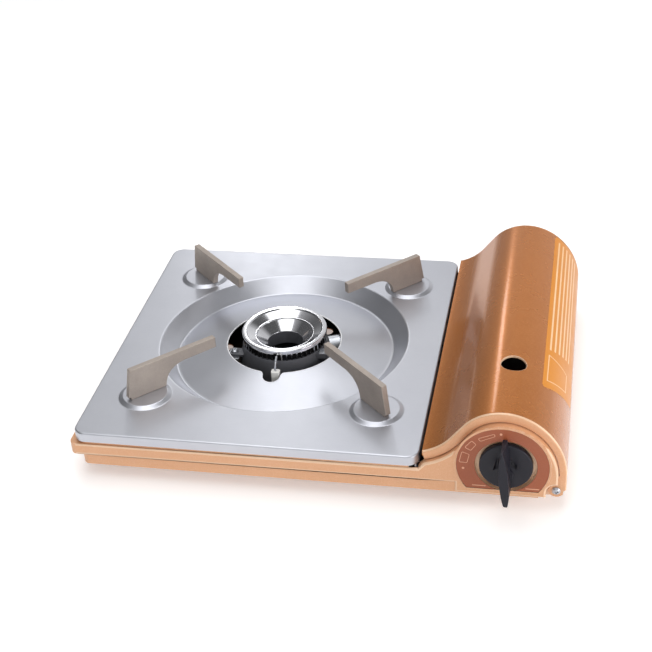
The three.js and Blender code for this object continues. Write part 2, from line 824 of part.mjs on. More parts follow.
function burnerBody() {
  const top = head.top - head.rimHeight - ring.height;
  const waist = top - cast.waistDrop;
  const inside = cast.wall;
  const profile = [
    point(cast.topRadius, top),
    point(cast.waistRadius, waist),
    point(cast.baseRadius, -cast.bottom),
    point(0, -cast.bottom),
    point(0, -cast.bottom + inside),
    point(cast.baseRadius - inside, -cast.bottom + inside),
    point(cast.waistRadius - inside, waist),
    point(cast.topRadius - inside, top),
    point(cast.topRadius, top),
  ];
  const shell = turned(profile.slice(3).concat(profile.slice(1, 4)), circleSteps, head.x, head.y);
  const neckStart = cast.waistRadius - cast.wall;
  const neckEnd = cast.neckReach;
  const neck = atNeck(diskRight(cast.neckRadius, 0, -cast.neckDrop, neckStart, neckEnd, roundSteps));
  const bore = atNeck(
    diskRight(cast.neckBore, 0, -cast.neckDrop, neckStart - overrun * 2, neckEnd + overrun, smallSteps),
  );
  const half = cast.lugWidth / 2;
  const hookHalf = cast.hookWidth / 2;
  const hookEnd = head.x + hookReach;
  const root = cast.topRadius - cast.wall;
  const lugTop = -strap.tabDrop + cast.lugThick;
  const hookTop = -cast.hookTop;
  const lugs = [
    box(head.x - lugReach, head.x - root, lugY - half, lugY + half, -strap.tabDrop, lugTop),
    box(head.x, hookEnd, hookY - hookHalf, hookY + hookHalf, hookTop - 2 * cast.lugThick, hookTop),
  ];
  const core = diskUp(root, head.x, head.y, -cast.bottom + cast.wall, top + overrun, roundSteps);
  return cut(
    join(cut(join(shell, neck), bore), ...lugs.map((lug) => lug.subtract(core))),
    diskUp(screw.hole, lugScrewX, lugY, -cast.bottom + cast.wall, lugTop + overrun, smallSteps),
  );
}

// A folded strap: its left end takes a screw, and its right end hooks over the casting.
function burnerStrap() {
  const y0 = head.y - strapFront;
  const y1 = y0 + strap.width;
  const x0 = head.x - lugReach - strap.lugMargin;
  const x1 = head.x + hookReach + strap.hookMargin;
  const top = -strap.tabDrop;
  const hook = -cast.hookTop + strap.hookThick;
  const half = cast.hookWidth / 2;
  const parts = [
    box(x0, x1, y0, y1, floorTop, floorTop + strap.thick),
    box(x0, x0 + strap.thick, y0, y1, floorTop, top),
    box(x0, x0 + strap.tabReach, y0, y1, top - strap.thick, top),
    box(x1 - strap.thick, x1, hookY - half, hookY + half, floorTop, hook),
    box(x1 - strap.hookReach, x1, hookY - half, hookY + half, hook - strap.hookThick, hook),
  ];
  const level = -cast.bottom - gap;
  return cut(
    join(...parts),
    diskUp(screw.hole, lugScrewX, lugY, floorTop + overrun * 2, top + overrun, smallSteps),
    diskUp(cast.waistRadius + gap, head.x, head.y, level, hook - strap.hookThick - sheet),
    diskUp(cast.topRadius + gap, head.x, head.y, level, hook + overrun),
  );
}

// A pan-head screw standing on its shank, with the underside of its head at the origin and a cross slot.
function screwSolid(length, steps) {
  const half = screw.slotWidth / 2;
  const reach = screw.headRadius * 0.6;
  const profile = [
    point(0, -length),
    point(screw.shankRadius, -length),
    point(screw.shankRadius, 0),
    point(screw.headRadius, 0),
    point(screw.headRadius, screw.headHeight / 2),
    point(screw.headRadius * 0.6, screw.headHeight),
    point(0, screw.headHeight),
  ];
  const low = screw.headHeight - screw.slotDepth;
  const high = screw.headHeight + overrun;
  if (!steps) return turned(profile, smallSteps);
  return cut(
    turned(profile, steps),
    box(-reach, reach, -half, half, low, high),
    box(-half, half, -reach, reach, low, high),
  );
}

function mixingTube() {
  const out = point(Math.cos(neckTurn), Math.sin(neckTurn));
  const along = (r, z) => new THREE.Vector3(head.x + out.x * r, head.y + out.y * r, z);
  const startR = cast.neckReach + gap + tube.flangeThick / 2;
  const y = tube.lineY;
  const z = -tube.level;
  const turn = tube.radius * 2;
  const bend = shield.x - 2 * sheet - turn;
  const half = turn * (1 - Math.SQRT1_2);
  const mouth = shield.x + sheet * 4;
  const path = new THREE.CatmullRomCurve3(
    [
      along(startR, -cast.neckDrop),
      along(startR + tube.radius, -cast.neckDrop),
      along(recess.holeRadius * 1.55, z * 0.82),
      along(slopeRadius(), z),
      new THREE.Vector3(bend - tube.radius * 1.6, recess.y + tube.radius, z),
      new THREE.Vector3(bend, recess.y - tube.radius * 4, z),
      new THREE.Vector3(bend, y + turn, z),
      new THREE.Vector3(bend + half, y + half, z),
      new THREE.Vector3(bend + turn, y, z),
      new THREE.Vector3(mouth, y, z),
      new THREE.Vector3(mouth + tube.radius * 2, y, z),
    ],
    false,
    "centripetal",
  );
  const section = new THREE.Shape(
    Array.from({ length: tube.sides }, (_, i) => {
      const a = (2 * Math.PI * i) / tube.sides;
      return point(tube.radius * Math.cos(a), tube.radius * Math.sin(a));
    }),
  );
  const options = { steps: tube.steps, bevelEnabled: false, extrudePath: path };
  const pipe = solid(new THREE.ExtrudeGeometry(section, options));
  const flangeStart = cast.neckReach + gap;
  const flange = atNeck(
    diskRight(tube.flangeRadius, 0, -cast.neckDrop, flangeStart, flangeStart + tube.flangeThick, roundSteps),
  );
  const end = mouth + tube.radius * 2;
  const bell = diskRight(tube.mouthRadius, y, z, end - tube.mouthLength, end, roundSteps);
  const inlet = diskRight(tube.bore, y, z, end - tube.boreDepth, end + overrun, roundSteps);
  const outlet = atNeck(
    diskRight(
      tube.bore, 0, -cast.neckDrop, flangeStart - overrun, flangeStart + tube.boreDepth / 2, smallSteps,
    ),
  );
  return cut(join(pipe, flange, bell), inlet, outlet);
}

function slopeRadius() {
  return recess.rimRadius - recess.slopeWidth;
}

function insulator() {
  const r = electrode.depth / 4;
  const x0 = electrode.x - electrode.width / 2;
  const y0 = electrode.y - electrode.depth / 2;
  const outline = roundRect(x0, y0, x0 + electrode.width, y0 + electrode.depth, r);
  return raised(outline, -electrode.top - electrode.length, -electrode.top);
}

function electrodePin() {
  const path = new THREE.CatmullRomCurve3([
    new THREE.Vector3(electrode.x, electrode.y, -electrode.top),
    new THREE.Vector3(electrode.x, electrode.y, -electrode.top + pin.rise * 0.4),
    new THREE.Vector3(electrode.x, electrode.y + pin.lean * 0.5, -electrode.top + pin.rise * 0.8),
    new THREE.Vector3(electrode.x, electrode.y + pin.lean, -electrode.top + pin.rise),
  ]);
  const section = new THREE.Shape(arcPoints(0, 0, pin.radius, 0, 315, 1).map((c) => c.at));
  return solid(new THREE.ExtrudeGeometry(section, { steps: 8, bevelEnabled: false, extrudePath: path }));
}

function electrodeBracket() {
  const x0 = electrode.x - electrode.width / 2 - bracket.thick;
  const x1 = x0 + bracket.width;
  const backY = head.y - cast.waistRadius - gap;
  const top = -bracket.drop;
  const under = top - bracket.thick;
  const tab = box(x0, x1, backY - bracket.reach, backY, under, top);
  const leg = box(x1 - bracket.legWidth, x1, backY - bracket.thick, backY, floorTop, top);
  const toe = box(
    x1 - bracket.legWidth, x1, backY - bracket.reach, backY, floorTop, floorTop + bracket.thick,
  );
  const holeX = electrode.width / 2 + gap;
  const holeY = electrode.depth / 2 + gap;
  return cut(
    join(tab, leg, toe),
    box(
      electrode.x - holeX,
      electrode.x + holeX,
      electrode.y - holeY,
      electrode.y + holeY,
      under - overrun,
      top + overrun,
    ),
  );
}

// The lead is clipped all along the tray's floor, from the igniter to the electrode.
function ignitionLead() {
  const low = floorTop + lead.radius + sheet;
  const startY = igniter.front + igniter.depth / 2;
  const end = -electrode.top - electrode.length - gap;
  const route = leadRoute;
  const floor = route.floorShares.map((share, i) => [
    electrode.x + (shield.x - electrode.x) * share,
    route.floorY[i],
    low,
  ]);
  const points = [
    [igniter.left - gap, startY, -igniter.height / 4],
    [igniter.left - lead.radius * 4, startY, -igniter.height / 4],
    [igniter.left - route.highOut, startY, route.highZ],
    [igniter.left - route.bendOut, startY, route.bendZ],
    [shield.x + route.wallIn, startY, -lead.holeDrop],
    [shield.x - route.innerOut, startY + sheet, route.innerZ],
    ...floor,
    [electrode.x, electrode.y - route.endOut, low + sheet],
    [electrode.x, electrode.y - lead.radius * 2, low + lead.radius * 2],
    [electrode.x, electrode.y, end - lead.radius * 3],
    [electrode.x, electrode.y, end],
  ];
  const path = new THREE.CatmullRomCurve3(points.map((p) => new THREE.Vector3(...p)), false, "centripetal");
  const section = new THREE.Shape(
    Array.from({ length: lead.sides }, (_, i) => {
      const a = (2 * Math.PI * i) / lead.sides;
      return point(lead.radius * Math.cos(a), lead.radius * Math.sin(a));
    }),
  );
  const options = { steps: lead.steps, bevelEnabled: false, extrudePath: path };
  return solid(new THREE.ExtrudeGeometry(section, options));
}

// The pivot ear shrinks from the lid's side wall to a round tab round the screw.
function earOutline() {
  const turn = arcPoints(0, 0, 1, 60, -200, 1);
  return turn.map((c, i) => {
    const angle = 60 - (260 * i) / (turn.length - 1);
    const share = THREE.MathUtils.smoothstep(-angle, 0, 90);
    const radius = angle > 0 ? pivot.inset : pivot.inset + (pivot.earRadius - pivot.inset) * share;
    return point(pivotX + c.out.x * radius, pivotZ + c.out.y * radius);
  });
}

function lidShell() {
  const inner = inset(lid.sheet);
  const outer = inset(0);
  const shell = drawn(strapOutline(outer, inner), lid.front, lidRear);
  const hem = box(lipX, lipX + lid.sheet, lid.front, lidRear, lid.lipRise - lid.hem, lid.lipRise - gap);
  const flange = strapOutline(outer, inset(lid.flangeLeft, lid.flangeRight));
  const ends = [
    [lid.front, lid.front + sheet],
    [lidRear - sheet, lidRear],
  ].flatMap(([y0, y1]) => [drawn(flange, y0, y1), drawn(earOutline(), y0, y1)]);
  return cut(
    join(shell, hem, ...ends),
    diskUp(lid.windowRadius, knob.x, lid.windowY, 0, lid.top + overrun),
    diskBack(screw.hole, pivotX, pivotZ, 0, plate.depth, smallSteps),
    box(0, lipX, lid.front - overrun, lidRear + overrun, -tray.bottom, lid.top),
  );
}

function dialOutline(radius) {
  const z = -dial.drop;
  const flat = -dial.flatDrop - (radius - dial.radius);
  const half = THREE.MathUtils.radToDeg(Math.acos((z - flat) / radius));
  return arcPoints(dial.x, z, radius, -90 + half, 270 - half, 1, 2 * chordError).map((c) => c.at);
}

function dialPlate() {
  return cut(
    drawn(dialOutline(dial.radius), tray.front - dial.thick, tray.front),
    diskBack(knob.dishRadius, knob.x, knob.z, -overrun, tray.front + overrun),
  );
}

// The knob about its own axis, at the origin, with its face to the front and its grip along z.
function knobSolid() {
  const face = -knob.front;
  const back = face + knob.thick;
  const disc = diskBack(knob.radius, 0, 0, face, back);
  const base = face + sheet;
  const tip = -knob.finBottomReach;
  const rounded = knob.finTipRadius;
  const shape = new THREE.Shape();
  shape.moveTo(base, knob.finTop);
  shape.lineTo(-knob.finTopReach + rounded, knob.finTop);
  shape.lineTo(-knob.finTopReach, knob.finTop - rounded);
  shape.lineTo(tip, -knob.finBottom + rounded);
  shape.quadraticCurveTo(tip, -knob.finBottom, tip + rounded, -knob.finBottom);
  shape.lineTo(base, -knob.finBottom);
  const half = knob.finThick / 2;
  const geometry = geometryOf(across(shape, -half, half));
  const place = geometry.attributes.position;
  const span = knob.finTop + knob.finBottom;
  for (let i = 0; i < place.count; i++) {
    const down = (knob.finTop - place.getZ(i)) / span;
    const out = Math.min((base - place.getY(i)) / knob.finTopReach, 1);
    const wide = knob.finThin + (knob.finThick - knob.finThin) * down;
    place.setX(i, (place.getX(i) * (wide + (knob.finRidge - wide) * out)) / knob.finThick);
  }
  const fin = solid(geometry);
  const pockets = pocketShares.map((shares) =>
    drawn(
      shares.map(([x, z]) => point(x * knob.radius, z * knob.radius)),
      face - overrun,
      face + knob.pocketDepth,
    ),
  );
  const halfRound = cut(
    diskBack(knob.bossRadius, 0, -knob.bossDrop, face - knob.bossProud, face + sheet / 2, roundSteps),
    box(-knob.bossRadius * 2, 0, face - overrun * 2, face + overrun, -knob.radius, knob.radius),
  );
  return cut(
    join(cut(disc, ...pockets), fin, halfRound),
    diskBack(shaft.radius + gap, 0, 0, back - knob.boreDepth, back + overrun, roundSteps),
  );
}

function camOutline() {
  const steps = cam.steps;
  return Array.from({ length: steps * 4 }, (_, i) => {
    const angle = (360 * i) / (steps * 4);
    const climb = angle >= 90 && angle <= 180 ? (180 - angle) / 90 : 0;
    const ease = angle > cam.dropAngle && angle < 90 ? 1 : 0;
    const radius = cam.low + cam.rise * Math.max(climb, ease);
    const a = THREE.MathUtils.degToRad(angle);
    return point(radius * Math.cos(a), radius * Math.sin(a));
  }).filter((_, i) => i % 2 === 0);
}

function ignitionCam() {
  return drawn(camOutline(), cam.y, cam.y + cam.thick).subtract(
    diskBack(cam.bore, 0, 0, cam.y - overrun, cam.y + cam.thick + overrun, roundSteps),
  );
}

const shaftStart = tray.front - knob.front + knob.thick - knob.boreDepth;
const shaftEnd = valve.front + valve.boreDepth - gap;

function valveShaft() {
  return diskBack(shaft.radius, 0, 0, shaftStart, shaftEnd, roundSteps);
}

function valveBody() {
  const block = box(valve.left, valve.right, valve.front, valve.rear, -valve.bottom, valve.top);
  const bore = shaft.radius + gap;
  const hole = nozzle.radius + gap;
  return cut(
    block,
    diskBack(bore, knob.x, knob.z, valve.front - overrun, valve.front + valve.boreDepth, roundSteps),
    diskRight(hole, tube.lineY, -tube.level, valve.left - overrun, valve.left + overrun * 2, roundSteps),
  );
}

function valveBracket() {
  const x0 = valve.left - seat.margin;
  const x1 = valve.right + seat.margin;
  const base = box(x0, x1, valve.front, valve.rear, floorTop, floorTop + seat.thick);
  const wall = box(x0, valve.left - gap, valve.front, valve.front + seat.margin, floorTop, -tube.level);
  const holes = [x0, x1 - seat.margin].map((x) =>
    diskUp(screw.hole, x + seat.margin / 2, valve.rear - seat.margin, floorTop - overrun, 0, smallSteps),
  );
  return cut(join(base, wall), ...holes);
}

function gasNozzle() {
  const tip = valve.left - nozzle.reach;
  const y = tube.lineY;
  const z = -tube.level;
  const stem = diskRight(nozzle.radius, y, z, tip + nozzle.tipLength, valve.left + overrun, roundSteps);
  const jet = diskRight(nozzle.tipRadius, y, z, tip, tip + nozzle.tipLength + sheet, smallSteps);
  return join(stem, jet);
}

function cartridgeSocket() {
  const z = -bay.axisDrop;
  const y0 = valve.rear;
  const y1 = y0 + socket.thick;
  const disc = diskBack(socket.radius, bay.cartridgeX, z, y0, y1);
  const half = socket.tongueWidth / 2;
  const x = bay.cartridgeX;
  const tongueTop = z + socket.radius + socket.tongueHeight;
  const tongue = box(x - half, x + half, y0, y1 + socket.tongueHeight, z + socket.radius - sheet, tongueTop);
  const bore = diskBack(socket.bore, bay.cartridgeX, z, y1 - socket.thick / 2, y1 + overrun);
  const pocketY = y1 - magnet.thick;
  const pockets = [-1, 1].map((side) =>
    diskBack(magnet.radius + gap, x + side * magnet.offset, z, pocketY, y1 + overrun, roundSteps),
  );
  return cut(join(disc, tongue), bore, ...pockets);
}

function socketMagnet() {
  return diskBack(magnet.radius, 0, 0, 0, magnet.thick, roundSteps);
}

function igniterBody() {
  const y1 = igniter.front + igniter.depth;
  const half = igniter.height / 2;
  const block = box(igniter.left, igniter.right, igniter.front, y1, knob.z - half, knob.z + half);
  const y = cam.y + cam.thick / 2;
  const inner = igniter.right - igniter.boreDepth;
  const bore = diskRight(igniter.bore, y, knob.z, inner, igniter.right + overrun, smallSteps);
  const bracketX = igniter.left + sheet * 2;
  const foot = box(bracketX, bracketX + sheet * 2, igniter.front, y1, floorTop, knob.z);
  return join(block, foot).subtract(bore);
}

function igniterPlunger() {
  const tip = knob.x - cam.low - plunger.tipGap;
  const y = cam.y + cam.thick / 2;
  const r = plunger.radius;
  const rod = diskRight(r, y, knob.z, tip - plunger.length, tip - r, smallSteps);
  const ball = new THREE.SphereGeometry(r, smallSteps, smallSteps / 2).translate(tip - r, y, knob.z);
  return join(rod, solid(ball));
}

function heatShield() {
  const y0 = tray.lipInset + sheet + gap;
  const y1 = plate.depth - y0;
  const x = shield.x;
  const low = floorTop;
  const wall = box(x, x + sheet, y0, y1, low, -sheet);
  const top = box(x - shield.flange, x, y0 + tray.lipCorner, y1 - tray.lipCorner, -2 * sheet, -sheet);
  const base = box(x, x + shield.footFlange, y0 + tray.lipCorner, y1 - tray.lipCorner, low, low + sheet);
  const startY = igniter.front + igniter.depth / 2;
  const stripY = head.y - strapFront;
  const half = gap * 2;
  return cut(
    join(wall, top, base),
    box(x - overrun, x + sheet + overrun, 0, y0 + shield.cornerCut, -shield.cornerDrop, 0),
    box(x - overrun, x + sheet + overrun, y1 - shield.cornerCut, plate.depth, -shield.cornerDrop, 0),
    diskRight(shield.tubeHole, tube.lineY, -tube.level, x - overrun, x + sheet + overrun),
    box(
      x + sheet,
      x + shield.footFlange + overrun,
      tube.lineY - tube.mouthRadius - overrun,
      tube.lineY + tube.mouthRadius + overrun,
      low - overrun,
      low + sheet + overrun,
    ),
    diskRight(shield.leadHole, startY, -lead.holeDrop, x - overrun, x + sheet + overrun, roundSteps),
    box(
      x - overrun,
      x + shield.footFlange + overrun,
      stripY - half,
      stripY + strip.width + half,
      low - overrun,
      low + strip.thick + gap * 2,
    ),
    ...shieldScrewSpots().map(([sx, sy]) =>
      diskUp(screw.hole, sx, sy, low - overrun, low + sheet + overrun, smallSteps),
    ),
  );
}

function shieldScrewSpots() {
  const x = shield.x + sheet + shield.footFlange / 2;
  return [
    [x, plate.depth / 3],
    [x, plate.depth - tray.lipCorner * 3],
  ];
}

// An aluminium strip that carries a little heat from the burner to the cartridge.
function heatStrip() {
  const y0 = head.y - strapFront;
  const y1 = y0 + strip.width;
  const z = -bay.axisDrop;
  const reach = bay.troughRadius - strip.wrapGap;
  const from = strip.wrapStartAngle;
  const to = strip.wrapEndAngle;
  const outer = arcPoints(bay.cartridgeX, z, reach, from, to, 1).map((c) => c.at);
  const back = arcPoints(bay.cartridgeX, z, reach + strip.thick, to, from, 1);
  const x0 = head.x + hookReach + strap.hookMargin + gap;
  const outline = [
    point(x0, floorTop),
    point(outer[0].x, floorTop),
    ...outer,
    ...back.map((c) => c.at),
    point(back[back.length - 1].at.x - strip.thick, floorTop + strip.thick),
    point(x0, floorTop + strip.thick),
  ];
  return drawn(outline, y0, y1);
}

function lidCatch() {
  const x = lipX + lid.sheet + clip.hemGap;
  const top = lid.lipRise - lid.hem + clip.rise;
  const low = floorTop + sheet;
  const leaf = [
    point(x + clip.bump, low),
    point(x + clip.bump, top - clip.bump * 3),
    point(x, top - clip.bump),
    point(x + clip.bump, top),
    point(x + clip.bump + clip.thick, top),
    point(x + clip.thick, top - clip.bump),
    point(x + clip.bump + clip.thick, top - clip.bump * 3),
    point(x + clip.bump + clip.thick, low + clip.thick),
    point(x + clip.bump + clip.foot, low + clip.thick),
    point(x + clip.bump + clip.foot, low),
  ];
  return drawn(leaf, clip.y, clip.y + clip.width);
}

function footSpots() {
  return [
    [foot.left, foot.front],
    [knob.x, foot.front],
    [foot.left, plate.depth - foot.rearLeft],
    [knob.x, plate.depth - foot.rearRight],
  ];
}

function footSolid() {
  const profile = [
    point(0, 0),
    point(foot.topRadius, 0),
    point(foot.bottomRadius, -foot.height),
    point(foot.bore, -foot.height),
    point(foot.bore, -foot.height + foot.boreDepth),
    point(screw.hole, -foot.height + foot.boreDepth),
    point(screw.hole, 0),
  ];
  const bored = [...profile.slice(1), profile[1]];
  return turned(bored, footSteps);
}

// Finishes of the real pieces.
const copperPaint = { color: 0xdba680, roughness: 0.42, metalness: 0.35 };
const bronzePaint = { color: 0xa86a38, roughness: 0.34, metalness: 0.55 };
const satinSteel = { color: 0xb9babf, roughness: 0.36, metalness: 0.85 };
const castGrey = { color: 0x8f8880, roughness: 0.62, metalness: 0.55 };
const brightAluminium = { color: 0xd9d9db, roughness: 0.2, metalness: 0.95 };
const darkIron = { color: 0x55565a, roughness: 0.55, metalness: 0.6 };
const brass = { color: 0xb8924a, roughness: 0.35, metalness: 0.9 };
const zinc = { color: 0xc9ccd2, roughness: 0.3, metalness: 0.9 };
const ceramic = { color: 0xf1eee8, roughness: 0.35, metalness: 0 };
const blackPlastic = { color: 0x232228, roughness: 0.42, metalness: 0 };
const dialPaint = { color: 0xa85f3a, roughness: 0.4, metalness: 0.2 };
const rubber = { color: 0x1c1c1d, roughness: 0.85, metalness: 0 };

function piece(name, made, finish) {
  const mesh = new THREE.Mesh(geometryOf(made), new THREE.MeshStandardMaterial(finish));
  mesh.name = name;
  return mesh;
}

function at(mesh, x, y, z) {
  mesh.position.set(x, y, z);
  return mesh;
}

const stove = new THREE.Group();
stove.add(piece("body_tray", bodyTray(), copperPaint));
stove.add(piece("dial_plate", dialPlate(), dialPaint));
stove.add(piece("heat_shield", heatShield(), satinSteel));
stove.add(piece("heat_strip", heatStrip(), brightAluminium));
stove.add(piece("lid_catch", lidCatch(), zinc));

const plateGroup = new THREE.Group();
plateGroup.add(piece("top_plate", topPlate(), satinSteel));
const supportNames = ["rear_right", "rear_left", "front_left", "front_right"];
supportNames.forEach((name, i) => {
  const arm = new THREE.Group();
  arm.position.set(recess.x, recess.y, 0);
  arm.rotation.z = Math.PI / 4 + (i * Math.PI) / 2;
  arm.add(piece(`pot_support_${name}`, supportBlade(), castGrey));
  plateGroup.add(arm);
});
stove.add(plateGroup);

const burner = new THREE.Group();
burner.add(piece("burner_head", burnerHead(), brightAluminium));
burner.add(piece("flame_ring", flameRing(), brightAluminium));
burner.add(piece("burner_body", burnerBody(), darkIron));
burner.add(piece("burner_strap", burnerStrap(), zinc));
burner.add(piece("mixing_tube", mixingTube(), castGrey));
const burnerScrew = piece("burner_screw", screwSolid(cast.lugThick + strap.thick + sheet, smallSteps), zinc);
burner.add(at(burnerScrew, lugScrewX, lugY, -strap.tabDrop + cast.lugThick));
burner.add(piece("electrode_insulator", insulator(), ceramic));
burner.add(piece("electrode_pin", electrodePin(), zinc));
burner.add(piece("electrode_bracket", electrodeBracket(), zinc));
burner.add(piece("ignition_lead", ignitionLead(), rubber));
stove.add(burner);

const supply = new THREE.Group();
supply.add(piece("valve_body", valveBody(), brightAluminium));
supply.add(piece("valve_bracket", valveBracket(), zinc));
supply.add(piece("gas_nozzle", gasNozzle(), brass));
supply.add(piece("cartridge_socket", cartridgeSocket(), zinc));
[-1, 1].forEach((side) => {
  const made = piece(side < 0 ? "socket_magnet_left" : "socket_magnet_right", socketMagnet(), darkIron);
  const y = valve.rear + socket.thick - magnet.thick;
  supply.add(at(made, bay.cartridgeX + side * magnet.offset, y, -bay.axisDrop));
});
supply.add(piece("igniter_body", igniterBody(), blackPlastic));
supply.add(piece("igniter_plunger", igniterPlunger(), brass));
const valveScrewY = valve.rear - seat.margin;
[valve.left - seat.margin / 2, valve.right + seat.margin / 2].forEach((x, i) => {
  const made = piece(i ? "valve_screw_right" : "valve_screw_left", screwSolid(1), zinc);
  supply.add(at(made, x, valveScrewY, floorTop + seat.thick));
});
stove.add(supply);

const control = new THREE.Group();
control.position.set(knob.x, 0, knob.z);
const knobMesh = piece("knob", knobSolid(), blackPlastic);
knobMesh.position.y = tray.front;
control.add(knobMesh);
control.add(piece("valve_shaft", valveShaft(), brass));
control.add(piece("ignition_cam", ignitionCam(), blackPlastic));
stove.add(control);

const cover = new THREE.Group();
cover.add(piece("lid", lidShell(), bronzePaint));
stove.add(cover);

const hingeLength = sheet * 5;
const frontScrew = piece("hinge_screw_front", screwSolid(hingeLength, roundSteps), zinc);
frontScrew.rotation.x = Math.PI / 2;
stove.add(at(frontScrew, pivotX, lid.front, pivotZ));
const rearScrew = piece("hinge_screw_rear", screwSolid(hingeLength, roundSteps), zinc);
rearScrew.rotation.x = -Math.PI / 2;
stove.add(at(rearScrew, pivotX, lidRear, pivotZ));

const footNames = ["front_left", "front_right", "rear_left", "rear_right"];
footSpots().forEach(([x, y], i) => {
  stove.add(at(piece(`foot_${footNames[i]}`, footSolid(), rubber), x, y, -tray.bottom));
  const made = piece(`foot_screw_${footNames[i]}`, screwSolid(foot.height - foot.boreDepth + sheet), zinc);
  made.rotation.x = Math.PI;
  stove.add(at(made, x, y, -tray.bottom - foot.height + foot.boreDepth));
});

shieldScrewSpots().forEach(([x, y], i) => {
  const made = piece(i ? "shield_screw_rear" : "shield_screw_front", screwSolid(sheet), zinc);
  stove.add(at(made, x, y, floorTop + sheet));
});

// The origin is the middle of the whole stove's footprint, on the surface that it stands on.
const left = -tray.side;
const front = tray.front - knob.finBottomReach;
const ground = -tray.bottom - foot.height;
stove.position.set(-(left + lidRight) / 2, -(front + trayRear) / 2, -ground);

const root = new THREE.Group();
root.add(stove);

export default root;
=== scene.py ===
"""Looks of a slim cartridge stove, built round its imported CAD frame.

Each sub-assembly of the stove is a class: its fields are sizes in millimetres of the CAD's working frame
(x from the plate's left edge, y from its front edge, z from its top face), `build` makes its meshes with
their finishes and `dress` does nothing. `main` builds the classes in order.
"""

import logging
import math
from collections.abc import Callable, Iterable, Sequence
from dataclasses import dataclass, field
from enum import Enum

import bmesh
import bpy
from mathutils import Matrix, Vector


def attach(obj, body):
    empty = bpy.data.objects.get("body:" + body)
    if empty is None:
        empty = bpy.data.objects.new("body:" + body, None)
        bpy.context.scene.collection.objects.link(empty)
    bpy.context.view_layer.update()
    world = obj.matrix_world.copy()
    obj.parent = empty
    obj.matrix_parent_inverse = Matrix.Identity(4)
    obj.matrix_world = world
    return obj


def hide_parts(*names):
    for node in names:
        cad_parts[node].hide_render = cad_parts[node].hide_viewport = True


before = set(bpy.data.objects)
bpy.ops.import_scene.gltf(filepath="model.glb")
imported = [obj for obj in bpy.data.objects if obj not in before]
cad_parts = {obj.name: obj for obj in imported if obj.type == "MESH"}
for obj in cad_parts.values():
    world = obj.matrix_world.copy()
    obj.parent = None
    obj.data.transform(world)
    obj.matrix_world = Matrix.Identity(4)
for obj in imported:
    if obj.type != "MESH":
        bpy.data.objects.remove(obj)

log = logging.getLogger("stove")

Point = tuple[float, float]
Corner = tuple[float, float, float]
Colour = tuple[float, float, float, float]
Place = tuple[float, float, float]
Given = bpy.types.bpy_prop_collection
Ring = list[bmesh.types.BMVert]

MM = 0.001
WORKING_ORIGIN = Vector((-0.1709316, -0.1221, 0.041))


def ink(code: str) -> Colour:
    """Turns a written colour such as "b9babf" into the linear values that a shader takes.

    Args:
        code: Six hexadecimal digits, red, green and blue.

    Returns:
        Linear red, green, blue and a full alpha.
    """
    parts = [int(code[i : i + 2], 16) / 255 for i in (0, 2, 4)]
    linear = [p / 12.92 if p <= 0.04045 else ((p + 0.055) / 1.055) ** 2.4 for p in parts]
    return (linear[0], linear[1], linear[2], 1.0)


def row(x: float, y: float, z: float) -> Vector:
    """Gives a point of the working frame, in millimetres, its place in the row frame, in metres."""
    return WORKING_ORIGIN + Vector((x, y, z)) * MM


def circle(steps: int) -> list[Point]:
    """The cosine and sine of each of a circle's even steps."""
    return [(math.cos(a), math.sin(a)) for a in (2 * math.pi * i / steps for i in range(steps))]


def linked(name: str, data: bpy.types.ID) -> bpy.types.Object:
    """Makes an object of a mesh, a camera or a light and puts it in the scene."""
    made = bpy.data.objects.new(name, data)
    bpy.context.scene.collection.objects.link(made)
    return made


# ---------------------------------------------------------------------------------------------------------
# Shaders
# ---------------------------------------------------------------------------------------------------------


